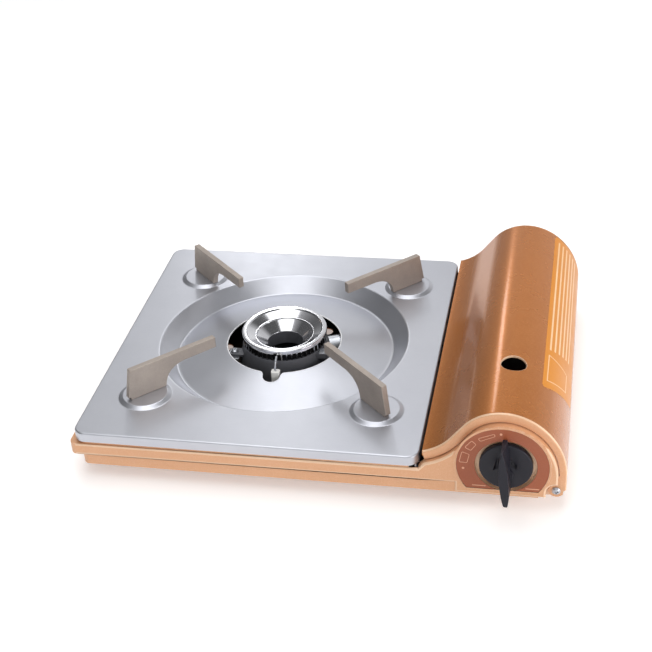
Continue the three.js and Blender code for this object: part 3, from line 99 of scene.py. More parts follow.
class Tree:
    """Short calls for the nodes and links of one node tree."""

    def __init__(self, tree: bpy.types.NodeTree) -> None:
        """Keeps the tree that the nodes are added to."""
        self.tree = tree

    @classmethod
    def blank(cls, owner: bpy.types.ID) -> "Tree":
        """Starts the node tree of a new material or world with nothing in it."""
        owner.use_nodes = True
        owner.node_tree.nodes.clear()
        return cls(owner.node_tree)

    def add(
        self, kind: str, inputs: dict[str | int, object] | None = None, **settings: object
    ) -> bpy.types.Node:
        """Adds a node.

        Args:
            kind: Blender's name of the node's type.
            inputs: Sockets to link or values to set, by the input's name or number.
            **settings: Properties of the node itself.

        Returns:
            The new node.
        """
        node = self.tree.nodes.new(kind)
        for key, value in settings.items():
            setattr(node, key, value)
        for key, value in (inputs or {}).items():
            self.give(node.inputs[key], value)
        return node

    def give(self, socket: bpy.types.NodeSocket, value: object) -> None:
        """Links a socket to an input, or sets the input's value."""
        if isinstance(value, bpy.types.NodeSocket):
            self.tree.links.new(value, socket)
        else:
            socket.default_value = value

    def noise(self, place: object, scale: object, detail: float) -> bpy.types.NodeSocket:
        """Adds a Noise texture and returns its value."""
        inputs = {"Vector": place, "Scale": scale, "Detail": detail}
        return self.add("ShaderNodeTexNoise", inputs).outputs[0]

    def vector(
        self, operation: str, a: object, b: object = None, output: str = "Vector"
    ) -> bpy.types.NodeSocket:
        """Adds a Vector Math node and returns one of its results."""
        inputs = {0: a} if b is None else {0: a, 1: b}
        return self.add("ShaderNodeVectorMath", inputs, operation=operation).outputs[output]

    def maths(self, operation: str, a: object, b: object = 0.0, clamp: bool = False) -> bpy.types.NodeSocket:
        """Adds a Math node and returns its result."""
        node = self.add("ShaderNodeMath", {0: a, 1: b}, operation=operation, use_clamp=clamp)
        return node.outputs[0]

    def ramp(
        self, value: object, low: float, high: float, to_low: float = 0.0, to_high: float = 1.0
    ) -> bpy.types.NodeSocket:
        """Maps a value from one range to another, held at the ends."""
        inputs = {"Value": value, "From Min": low, "From Max": high, "To Min": to_low, "To Max": to_high}
        return self.add("ShaderNodeMapRange", inputs, clamp=True).outputs[0]

    def blend(
        self, a: object, a_share: float, b: object, b_share: float, clamp: bool = False
    ) -> bpy.types.NodeSocket:
        """Adds two values, each by its share."""
        shares = self.maths("MULTIPLY", a, a_share), self.maths("MULTIPLY", b, b_share)
        return self.maths("ADD", *shares, clamp)

    def mix(self, share: object, a: object, b: object) -> bpy.types.NodeSocket:
        """Mixes two colours by a share."""
        node = self.add("ShaderNodeMix", data_type="RGBA")
        for socket, value in ((node.inputs[0], share), (node.inputs[6], a), (node.inputs[7], b)):
            self.give(socket, value)
        return node.outputs[2]


class Effect(Enum):
    """The shared surface effects, each built once as a node group."""

    GRAIN = "surface_grain"
    EDGE_WEAR = "edge_wear"
    HANDLING = "handling_marks"
    RINGS = "turning_rings"
    FLAKE = "metal_flake"


class EffectLibrary:
    """Builds the shared node groups and places them in materials."""

    def __init__(self) -> None:
        """Starts with no groups built."""
        self.groups: dict[Effect, bpy.types.NodeTree] = {}

    def place(self, tree: Tree, effect: Effect, **values: object) -> bpy.types.Node:
        """Puts an effect's group into a material's tree.

        Args:
            tree: The material's tree.
            effect: Which group to place.
            **values: Values or sockets for the group's inputs, by name.

        Returns:
            The group node.
        """
        if effect not in self.groups:
            self.groups[effect] = self._make(effect)
        return tree.add("ShaderNodeGroup", values, node_tree=self.groups[effect])

    def _make(self, effect: Effect) -> bpy.types.NodeTree:
        """Builds one group from its table of inputs and its drawing method."""
        tables: dict[Effect, tuple[dict[str, object], str, Callable[..., bpy.types.NodeSocket]]] = {
            Effect.GRAIN: ({"Scale": 400.0, "Stretch": (1.0, 1.0, 1.0)}, "Grain", self._grain),
            Effect.EDGE_WEAR: ({"Reach": 0.0004, "Breakup": 300.0}, "Wear", self._edge_wear),
            Effect.HANDLING: ({"Scale": 14.0, "Low": 0.0, "High": 1.0}, "Marks", self._handling),
            Effect.RINGS: ({"Centre": (0.0, 0.0, 0.0), "Pitch": 0.0008}, "Rings", self._rings),
            Effect.FLAKE: ({"Scale": 2600.0, "Share": 0.3}, "Flake", self._flake),
        }
        inputs, output, draw = tables[effect]
        group = bpy.data.node_groups.new(effect.value, "ShaderNodeTree")
        for name, value in inputs.items():
            kind = "NodeSocketVector" if isinstance(value, tuple) else "NodeSocketFloat"
            group.interface.new_socket(name, in_out="INPUT", socket_type=kind).default_value = value
        group.interface.new_socket(output, in_out="OUTPUT", socket_type="NodeSocketFloat")
        tree = Tree(group)
        entry = tree.add("NodeGroupInput")
        tree.add("NodeGroupOutput", {0: draw(tree, entry.outputs)})
        return group

    @staticmethod
    def _grain(tree: Tree, given: Given) -> bpy.types.NodeSocket:
        """Fine noise, drawn out along the axes that have a small stretch."""
        place = tree.add("ShaderNodeTexCoord").outputs["Object"]
        return tree.noise(tree.vector("MULTIPLY", place, given["Stretch"]), given["Scale"], 3.0)

    @staticmethod
    def _edge_wear(tree: Tree, given: Given) -> bpy.types.NodeSocket:
        """Edges, found where a rounded normal parts from the true one, and broken up by noise."""
        true = tree.add("ShaderNodeNewGeometry").outputs["Normal"]
        soft = tree.add("ShaderNodeBevel", {"Radius": given["Reach"]}, samples=4).outputs[0]
        edge = tree.ramp(tree.vector("DOT_PRODUCT", true, soft, "Value"), 0.995, 0.93)
        place = tree.add("ShaderNodeTexCoord").outputs["Object"]
        broken = tree.ramp(tree.noise(place, given["Breakup"], 4.0), 0.35, 0.62)
        return tree.maths("MULTIPLY", edge, broken, clamp=True)

    @staticmethod
    def _handling(tree: Tree, given: Given) -> bpy.types.NodeSocket:
        """Broad soft patches with finer streaks in them, between a low and a high value."""
        place = tree.add("ShaderNodeTexCoord").outputs["Object"]
        broad = tree.noise(place, given["Scale"], 2.0)
        fine = tree.noise(place, tree.maths("MULTIPLY", given["Scale"], 9.0), 5.0)
        share = tree.ramp(tree.blend(broad, 0.7, fine, 0.3), 0.35, 0.65)
        span = tree.maths("SUBTRACT", given["High"], given["Low"])
        return tree.maths("ADD", given["Low"], tree.maths("MULTIPLY", share, span))

    @staticmethod
    def _rings(tree: Tree, given: Given) -> bpy.types.NodeSocket:
        """Fine rings left by a lathe or a spinning tool about an upright axis."""
        place = tree.add("ShaderNodeTexCoord").outputs["Object"]
        flat = tree.vector("MULTIPLY", tree.vector("SUBTRACT", place, given["Centre"]), (1.0, 1.0, 0.0))
        steps = tree.maths("DIVIDE", tree.vector("LENGTH", flat, output="Value"), given["Pitch"])
        inputs = {"W": steps, "Scale": 1.0, "Detail": 2.0}
        return tree.add("ShaderNodeTexNoise", inputs, noise_dimensions="1D").outputs[0]

    @staticmethod
    def _flake(tree: Tree, given: Given) -> bpy.types.NodeSocket:
        """Small cells of which a share stand out, as the flakes in a metallic paint do."""
        place = tree.add("ShaderNodeTexCoord").outputs["Object"]
        cells = tree.add("ShaderNodeTexVoronoi", {"Vector": place, "Scale": given["Scale"]})
        pick = tree.add("ShaderNodeSeparateColor", {"Color": cells.outputs["Color"]}).outputs[0]
        return tree.maths("LESS_THAN", pick, given["Share"])


EFFECTS = EffectLibrary()


@dataclass(frozen=True)
class Finish:
    """One finish: its colours, its gloss and the fine marks in it; a few finishes are painted light or shade.
    """

    name: str
    colour: str
    second: str
    metallic: float = 0.0
    gloss_low: float = 0.3
    gloss_high: float = 0.45
    patch_scale: float = 12.0
    grain_scale: float = 900.0
    grain_stretch: Place = (1.0, 1.0, 1.0)
    grain_share: float = 0.35
    bump: float = 0.00002
    coat: float = 0.0
    coat_roughness: float = 0.1
    worn: str = ""
    wear_reach: float = 0.0004
    specular: float = 0.5
    anisotropy: float = 0.0
    slot: str = ""

    def material(self) -> bpy.types.Material:
        """Returns the finish's material, which is built the first time that it is asked for."""
        title = f"finish_{self.name}"
        found = bpy.data.materials.get(title)
        if found is not None:
            return found
        made = bpy.data.materials.new(title)
        self.draw(Tree.blank(made))
        made.diffuse_color = ink(self.colour)
        return made

    def tint(self, tree: Tree) -> bpy.types.NodeSocket:
        """Draws the colour before wear: two shades mixed by patches and grain."""
        marks = EFFECTS.place(tree, Effect.HANDLING, Scale=self.patch_scale)
        grain = EFFECTS.place(tree, Effect.GRAIN, Scale=self.grain_scale, Stretch=self.grain_stretch)
        share = self.grain_share
        both = tree.blend(marks.outputs[0], 1 - share, grain.outputs[0], share, clamp=True)
        return tree.mix(both, ink(self.colour), ink(self.second))

    def height(self, tree: Tree) -> bpy.types.NodeSocket:
        """Draws the height that the bump follows."""
        grain = EFFECTS.place(tree, Effect.GRAIN, Scale=self.grain_scale, Stretch=self.grain_stretch)
        return grain.outputs[0]

    def draw(self, tree: Tree) -> None:
        """Draws the whole material: colour, wear, roughness and bump into one Principled shader."""
        colour = self.tint(tree)
        if self.worn:
            wear = EFFECTS.place(tree, Effect.EDGE_WEAR, Reach=self.wear_reach).outputs[0]
            colour = tree.mix(wear, colour, ink(self.worn))
        gloss = {"Scale": self.patch_scale * 1.7, "Low": self.gloss_low, "High": self.gloss_high}
        rough = EFFECTS.place(tree, Effect.HANDLING, **gloss)
        relief = {"Height": self.height(tree), "Distance": self.bump, "Strength": 1.0}
        bump = tree.add("ShaderNodeBump", relief)
        inputs = {
            "Base Color": colour, "Roughness": rough.outputs[0], "Metallic": self.metallic,
            "Normal": bump.outputs[0], "Coat Weight": self.coat, "Coat Roughness": self.coat_roughness,
            "Specular IOR Level": self.specular,
        }
        if self.anisotropy:
            inputs["Anisotropic"] = self.anisotropy
            inputs["Tangent"] = tree.add("ShaderNodeTangent", direction_type="RADIAL", axis="Z").outputs[0]
        shader = tree.add("ShaderNodeBsdfPrincipled", inputs)
        tree.add("ShaderNodeOutputMaterial", {0: shader.outputs[0]})


@dataclass(frozen=True)
class MetallicPaint(Finish):
    """Sprayed paint with fine metal flakes under a clear coat."""

    flake: str = "ffffff"
    flake_scale: float = 2400.0
    flake_share: float = 0.22
    flake_strength: float = 0.35

    def tint(self, tree: Tree) -> bpy.types.NodeSocket:
        """Adds light flakes to the two shades."""
        base = super().tint(tree)
        flake = EFFECTS.place(tree, Effect.FLAKE, Scale=self.flake_scale, Share=self.flake_share)
        share = tree.maths("MULTIPLY", flake.outputs[0], self.flake_strength)
        return tree.mix(share, base, ink(self.flake))


@dataclass(frozen=True)
class TurnedMetal(Finish):
    """Metal turned on a lathe, with fine rings about the burner's axis."""

    centre: Place = (0.0, 0.0, 0.0)
    pitch: float = 0.0006

    def height(self, tree: Tree) -> bpy.types.NodeSocket:
        """Draws the rings with a little grain in them."""
        rings = EFFECTS.place(tree, Effect.RINGS, Centre=self.centre, Pitch=self.pitch).outputs[0]
        return tree.blend(rings, 0.8, super().height(tree), 0.2)


BURNER_AXIS = tuple(row(125.8, 135.9, 0.0))

COPPER_PAINT = MetallicPaint(
    "copper_paint", "e5ae85", "dda57a", metallic=0.2, gloss_low=0.36, gloss_high=0.42, coat=0.3,
    coat_roughness=0.16, patch_scale=9.0, grain_scale=500.0, bump=0.000008, worn="f4d9bf", flake="ffdcbc",
    flake_strength=0.14, slot="tray_paint",
)
# Painted highlight: a lighter copper for rounded edges, the lid's rolled edge, the window's rim and the dish
# round the knob, where highlights fall.
COPPER_HIGHLIGHT = MetallicPaint(
    "copper_painted_highlight", "f4cfae", "efc7a3", metallic=0.1, gloss_low=0.34, gloss_high=0.4, coat=0.3,
    coat_roughness=0.16, patch_scale=9.0, grain_scale=500.0, bump=0.000008, flake="ffe6cf",
    flake_strength=0.12, slot="lid_paint",
)
# Painted shade: a near-black paint for the tray's up-facing floor under the plate, standing in for the shade
# that falls there on the copper paint.
FLOOR_SHADE_PAINT = MetallicPaint(
    "floor_painted_shade", "22150d", "1a1009", metallic=0.1, gloss_low=0.5, gloss_high=0.65, patch_scale=14.0,
    bump=0.00001, specular=0.25, flake="3c2818", flake_strength=0.15,
)
BRONZE_PAINT = MetallicPaint(
    "bronze_paint", "bb6e25", "ae641c", metallic=0.5, gloss_low=0.25, gloss_high=0.29, coat=0.34,
    coat_roughness=0.1, specular=0.35, patch_scale=9.0, grain_scale=500.0, bump=0.000003, flake="e2a05c",
    flake_strength=0.22, slot="lid_paint",
)
DIAL_PAINT = MetallicPaint(
    "dial_paint", "a95c38", "a05333", metallic=0.1, gloss_low=0.4, gloss_high=0.48, coat=0.15,
    coat_roughness=0.2, bump=0.000006, flake="c47a50", flake_strength=0.12,
)
PLATE_STEEL = Finish(
    "plate_steel", "c9cbd2", "bec0c8", metallic=0.85, gloss_low=0.32, gloss_high=0.4, patch_scale=7.0,
    grain_scale=900.0, grain_stretch=(0.3, 1.0, 1.0), bump=0.000012, worn="e4e6ea",
)
# Painted highlight: near-white steel for the rolled edge round the plate's burner hole, where a thin
# highlight falls.
STEEL_HIGHLIGHT = Finish(
    "steel_painted_highlight", "f6f6f8", "eeeef1", metallic=0.3, gloss_low=0.25, gloss_high=0.35, patch_scale=20.0,
    bump=0.000008,
)
SUPPORT_CAST = Finish(
    "support_cast", "b8aca2", "978d86", metallic=0.3, gloss_low=0.42, gloss_high=0.6, patch_scale=60.0,
    grain_scale=1400.0, grain_share=0.6, bump=0.00006, worn="c4b7aa",
)
BURNER_BRIGHT = TurnedMetal(
    "burner_bright", "d8d8dc", "cccdd2", metallic=0.97, gloss_low=0.09, gloss_high=0.14, patch_scale=30.0,
    bump=0.000005, centre=BURNER_AXIS, pitch=0.0007, anisotropy=0.4,
)
BURNER_DARK = Finish(
    "burner_dark", "6c6d73", "5a5b60", metallic=0.35, gloss_low=0.4, gloss_high=0.55, patch_scale=40.0,
    grain_scale=1200.0, grain_share=0.5, bump=0.00005, worn="85868a",
)
# Painted shade: near-black for the inner faces of the flame ring's grooves, standing in for the shade inside
# open slots.
SLOT_SHADE_PAINT = Finish(
    "slot_painted_shade", "0d0c0e", "161517", metallic=0.0, gloss_low=0.6, gloss_high=0.8, patch_scale=90.0,
    grain_scale=1500.0, bump=0.00004, specular=0.15,
)
TUBE_STEEL = Finish(
    "tube_steel", "a9abb0", "8f9196", metallic=0.8, gloss_low=0.32, gloss_high=0.5, patch_scale=25.0,
    bump=0.00002, worn="d0d2d6",
)
ZINC_STEEL = Finish(
    "zinc_steel", "c6c9cf", "aeb1b8", metallic=0.85, gloss_low=0.24, gloss_high=0.4, patch_scale=35.0,
    grain_scale=1600.0, bump=0.000015, worn="eceef2",
)
BRASS = Finish(
    "brass", "b9924c", "a07c3c", metallic=0.9, gloss_low=0.25, gloss_high=0.42, patch_scale=45.0,
    bump=0.000012, worn="dcbd7e",
)
CERAMIC = Finish(
    "ceramic", "f7f6f3", "efedea", gloss_low=0.22, gloss_high=0.38, patch_scale=80.0, bump=0.00001, coat=0.4,
)
BLACK_PLASTIC = Finish(
    "black_plastic", "24232c", "1e1d26", gloss_low=0.36, gloss_high=0.46, patch_scale=30.0,
    grain_scale=2200.0, bump=0.000025, worn="4b4b58", specular=0.3,
)
MAGNET = Finish(
    "magnet", "4c4d52", "3c3d41", metallic=0.5, gloss_low=0.4, gloss_high=0.6, patch_scale=60.0, bump=0.00003,
)
RUBBER = Finish(
    "rubber", "222224", "1a1a1b", gloss_low=0.7, gloss_high=0.9, patch_scale=50.0, grain_scale=1500.0,
    bump=0.00006, worn="3a3a3c",
)
AMBER_FILM = Finish(
    "amber_film", "db8a1a", "d28112", gloss_low=0.3, gloss_high=0.4, patch_scale=20.0, bump=0.000006,
    specular=0.3, slot="lid_paint",
)
CREAM_PRINT = Finish(
    "cream_print", "f6cfa4", "efc394", gloss_low=0.35, gloss_high=0.5, patch_scale=40.0, bump=0.000006,
    slot="lid_paint",
)
DIAL_PRINT = Finish(
    "dial_print", "eab494", "e0a684", gloss_low=0.4, gloss_high=0.5, patch_scale=40.0, bump=0.000006,
    slot="dial_paint",
)


# ---------------------------------------------------------------------------------------------------------
# Mesh tools
# ---------------------------------------------------------------------------------------------------------


def rounded(corners: Sequence[Corner], steps: int = 5) -> list[Point]:
    """Replaces the corners of an open line by arcs.

    Args:
        corners: Points with the radius of each corner; the first and last stay as they are.
        steps: Segments in each arc.

    Returns:
        The points of the rounded line.
    """
    points: list[Point] = [corners[0][:2]]
    for before, here, after in zip(corners, corners[1:], corners[2:]):
        at = Vector(here[:2])
        back, ahead = Vector(before[:2]) - at, Vector(after[:2]) - at
        half = back.angle(ahead) / 2
        if here[2] <= 0 or half > math.radians(89):
            points.append(here[:2])
            continue
        reach = min(here[2] / math.tan(half), back.length * 0.49, ahead.length * 0.49)
        radius = reach * math.tan(half)
        back.normalize()
        ahead.normalize()
        centre = at + (back + ahead).normalized() * (radius / math.sin(half))
        start, end = at + back * reach - centre, at + ahead * reach - centre
        turn = start.angle_signed(end)
        for i in range(steps + 1):
            spoke = Matrix.Rotation(-turn * i / steps, 2) @ start
            points.append(tuple(centre + spoke))
    points.append(corners[-1][:2])
    return points


def arc(centre: Point, radius: float, start: float, end: float, steps: int) -> list[Point]:
    """Points of an arc whose angles are in degrees."""
    angles = [math.radians(start + (end - start) * i / steps) for i in range(steps + 1)]
    return [(centre[0] + radius * math.cos(a), centre[1] + radius * math.sin(a)) for a in angles]


def round_rect(x0: float, y0: float, x1: float, y1: float, radius: float, steps: int = 8) -> list[Point]:
    """A rectangle with round corners, as a closed loop with the same count of points at any radius."""
    r = max(radius, 0.05)
    return [
        *arc((x1 - r, y0 + r), r, -90, 0, steps),
        *arc((x1 - r, y1 - r), r, 0, 90, steps),
        *arc((x0 + r, y1 - r), r, 90, 180, steps),
        *arc((x0 + r, y0 + r), r, 180, 270, steps),
    ]


class Shell:
    """The vertices and faces of one piece, in millimetres of the working frame."""

    def __init__(self) -> None:
        """Starts an empty mesh."""
        self.bm = bmesh.new()

    def loop(self, points: Iterable[Sequence[float]]) -> Ring:
        """Adds a row of points."""
        return [self.bm.verts.new(p) for p in points]

    def face_up(self) -> None:
        """Turns the faces of an open sheet so that its upper side is its front."""
        bmesh.ops.recalc_face_normals(self.bm, faces=self.bm.faces)
        if sum(f.normal.z * f.calc_area() for f in self.bm.faces) < 0:
            bmesh.ops.reverse_faces(self.bm, faces=self.bm.faces)

    def mesh(self, name: str) -> bpy.types.Mesh:
        """Ends the shell and returns its mesh, in metres of the row frame."""
        bmesh.ops.scale(self.bm, vec=(MM,) * 3, verts=self.bm.verts)
        bmesh.ops.translate(self.bm, vec=WORKING_ORIGIN, verts=self.bm.verts)
        mesh = bpy.data.meshes.new(name)
        self.bm.to_mesh(mesh)
        self.bm.free()
        return mesh

    def skin(self, loops: Sequence[Ring], closed: bool = True, slot: int = 0) -> None:
        """Spans neighbouring rows of points with faces.

        Args:
            loops: Rows with the same count of points; a row of one point is a pole.
            closed: Whether each row runs round to its start.
            slot: Which of the piece's materials the faces take.
        """
        for a, b in zip(loops, loops[1:]):
            count = max(len(a), len(b))
            for i in range(count if closed else count - 1):
                j = (i + 1) % count
                quad = [a[i % len(a)], a[j % len(a)], b[j % len(b)], b[i % len(b)]]
                kept = [v for k, v in enumerate(quad) if v not in quad[:k]]
                if len(kept) > 2:
                    self.bm.faces.new(kept).material_index = slot

    def fill(self, loops: Sequence[Ring], slot: int = 0) -> None:
        """Fills the flat area between an outer loop and the holes in it."""
        edges = []
        for ring in loops:
            for a, b in zip(ring, [*ring[1:], ring[0]]):
                edges.append(self.bm.edges.get((a, b)) or self.bm.edges.new((a, b)))
        made = bmesh.ops.triangle_fill(self.bm, use_beauty=True, edges=edges)
        for item in made["geom"]:
            if isinstance(item, bmesh.types.BMFace):
                item.material_index = slot

    def turn(
        self, profile: Sequence[Point], x: float, other: float, steps: int, axis: str = "z"
    ) -> list[Ring]:
        """Turns a profile about an axis.

        Args:
            profile: Points of radius and place along the axis; a radius of 0 makes a pole.
            x: The axis's x.
            other: The axis's y if it is upright, and its z if it runs from front to back.
            steps: Points in each ring.
            axis: "z" for an upright axis or "y" for one from front to back.

        Returns:
            The rings of vertices.
        """
        rings = []
        for r, along in profile:
            spots = [(x + r * c, other + r * s) for c, s in circle(1 if r < 1e-6 else steps)]
            rings.append(self.loop((u, v, along) if axis == "z" else (u, along, v) for u, v in spots))
        self.skin(rings)
        return rings

    def hoop(self, outer: Sequence[Point], inner: Sequence[Point], front: float, back: float) -> None:
        """Draws the band between two outlines in x and z out from front to back."""
        rows = [
            self.loop((a, y, b) for a, b in shape)
            for shape, y in ((outer, front), (inner, front), (inner, back), (outer, back))
        ]
        self.skin([*rows, rows[0]])

    def slab(self, outline: Sequence[Point], low: float, high: float) -> None:
        """Draws a closed outline in x and z out from one y to another, with flat ends."""
        start, end = [self.loop((a, level, b) for a, b in outline) for level in (low, high)]
        self.skin([start, end])
        self.fill([start])
        self.fill([end])


@dataclass
class Piece:
    """What becomes of a mesh: where it rides, what it stands for and how its edges are made."""

    name: str
    body: str
    finish: Finish
    nodes: tuple[str, ...] = ()
    thickness: float = 0.0
    bevel: float = 0.0
    bevel_steps: int = 2
    bevel_angle: float = 32.0
    smooth_angle: float = 40.0
    extra: tuple[Finish, ...] = ()
    matrix: Matrix = field(default_factory=lambda: Matrix.Identity(4))

    @property
    def slot(self) -> str:
        """The name of the slot that the piece's finish fills."""
        return self.finish.slot or self.finish.name

    def make(self, shell: Shell, recalc: bool = True) -> bpy.types.Object:
        """Turns a shell into a dressed object that rides on its body.

        Args:
            shell: The mesh, in millimetres.
            recalc: Whether face directions are worked out anew.

        Returns:
            The finished object.
        """
        bm = shell.bm
        bmesh.ops.transform(bm, matrix=self.matrix, verts=bm.verts)
        bmesh.ops.remove_doubles(bm, verts=bm.verts, dist=1e-4)
        if recalc:
            bmesh.ops.recalc_face_normals(bm, faces=bm.faces)
        mesh = shell.mesh(self.name)
        for finish in (self.finish, *self.extra):
            mesh.materials.append(finish.material())
        made = linked(self.name, mesh)
        if self.thickness:
            self._add(made, "SOLIDIFY", thickness=self.thickness * MM, offset=-1.0, use_even_offset=True)
        if self.bevel:
            self._add(
                made, "BEVEL", width=self.bevel * MM, segments=self.bevel_steps, limit_method="ANGLE",
                angle_limit=math.radians(self.bevel_angle), use_clamp_overlap=True,
            )
        settle(made, self.smooth_angle)
        return self.ride(made)

    def ride(self, made: bpy.types.Object) -> bpy.types.Object:
        """Parents the piece to its body's empty and hides the CAD nodes that it stands for."""
        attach(made, self.body)
        self.slot
        if self.nodes:
            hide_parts(*self.nodes)
        log.info("%s rides on %s", self.name, self.body)
        return made

    @staticmethod
    def _add(made: bpy.types.Object, kind: str, **settings: object) -> None:
        """Adds a modifier with its settings."""
        modifier = made.modifiers.new(kind.lower(), kind)
        for key, value in settings.items():
            setattr(modifier, key, value)


def settle(made: bpy.types.Object, smooth_angle: float = 40.0) -> None:
    """Applies an object's modifiers, smooths its faces and keeps its true edges sharp.

    Args:
        made: The object.
        smooth_angle: Edges that turn by more than this many degrees stay sharp.
    """
    def bake() -> None:
        """Replaces the mesh by what the modifiers make of it."""
        bpy.context.view_layer.update()
        graph = bpy.context.evaluated_depsgraph_get()
        baked = bpy.data.meshes.new_from_object(made.evaluated_get(graph))
        made.modifiers.clear()
        made.data = baked

    if made.modifiers:
        bake()
    made.data.polygons.foreach_set("use_smooth", [True] * len(made.data.polygons))
    made.data.set_sharp_from_angle(angle=math.radians(smooth_angle))
    weight = made.modifiers.new("weight", "WEIGHTED_NORMAL")
    weight.keep_sharp = True
    bake()


def pierced(made: bpy.types.Object, shell: Shell) -> None:
    """Cuts a shell's closed form, in millimetres, out of a finished object."""
    bmesh.ops.recalc_face_normals(shell.bm, faces=shell.bm.faces)
    mesh = shell.mesh("cutter")
    cutter = linked("cutter", mesh)
    boolean = made.modifiers.new("cut", "BOOLEAN")
    boolean.object = cutter
    boolean.solver = "EXACT"
    settle(made)
    bpy.data.objects.remove(cutter)
    bpy.data.meshes.remove(mesh)


def refined(
    node: str, piece: Piece, broad: Callable[[Vector], bool] | None = None, broad_width: float = 1.6,
    paint: Callable[[bmesh.types.BMFace], int] | None = None, kept_level: float | None = None,
) -> bpy.types.Object:
    """Makes a piece from a CAD node's own form, with its flat faces joined and its edges rounded.

    Args:
        node: The CAD node.
        piece: What becomes of the mesh.
        broad: Whether a point, in millimetres, lies on the edges that are rounded more than the rest.
        broad_width: How far those edges are rounded, in millimetres.
        paint: Which of the piece's materials a face takes; the broad edges take the last one.
        kept_level: The height of a flat ring whose faces aren't joined, because one face can't hold a hole.

    Returns:
        The finished object.
    """
    shell = Shell()
    shell.bm.from_mesh(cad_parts[node].data)
    bm = shell.bm
    bmesh.ops.translate(bm, vec=-WORKING_ORIGIN, verts=bm.verts)
    bmesh.ops.scale(bm, vec=(1 / MM,) * 3, verts=bm.verts)
    bmesh.ops.remove_doubles(bm, verts=bm.verts, dist=2e-3)
    free = [
        e for e in bm.edges if kept_level is None or max(abs(v.co.z - kept_level) for v in e.verts) > 0.05
    ]
    bmesh.ops.dissolve_limit(bm, angle_limit=math.radians(0.6), verts=bm.verts, edges=free)
    bmesh.ops.recalc_face_normals(bm, faces=bm.faces)
    for face in bm.faces:
        face.material_index = paint(face) if paint else 0
    if broad is not None:
        rims = [
            e for e in bm.edges
            if len(e.link_faces) == 2 and e.is_convex and e.calc_face_angle(0.0) > math.radians(40)
            and broad(e.verts[0].co) and broad(e.verts[1].co)
        ]
        # The broad edges take the piece's last material; on the tray that is the lighter copper of a painted
        # highlight.
        bmesh.ops.bevel(
            bm, geom=rims, offset=broad_width, offset_type="OFFSET", segments=4, profile=0.5, affect="EDGES",
            clamp_overlap=False, material=len(piece.extra),
        )
    return piece.make(shell)


# ---------------------------------------------------------------------------------------------------------
# Sub-assemblies
# ---------------------------------------------------------------------------------------------------------


class SubAssembly:
    """A group of pieces that belong together on the real stove."""

    def build(self) -> None:
        """Makes the group's meshes."""
        raise NotImplementedError

    def dress(self) -> None:
        """Does nothing."""


@dataclass
class Refined(SubAssembly):
    """CAD nodes whose forms are right, carried over with rounded edges."""

    body: str
    rows: tuple[tuple[str, Finish, float], ...]

    def build(self) -> None:
        """Copies each node with its edges rounded by the row's width."""
        for node, finish, bevel in self.rows:
            refined(node, Piece(f"{node}_fine", self.body, finish, (node,), bevel=bevel))


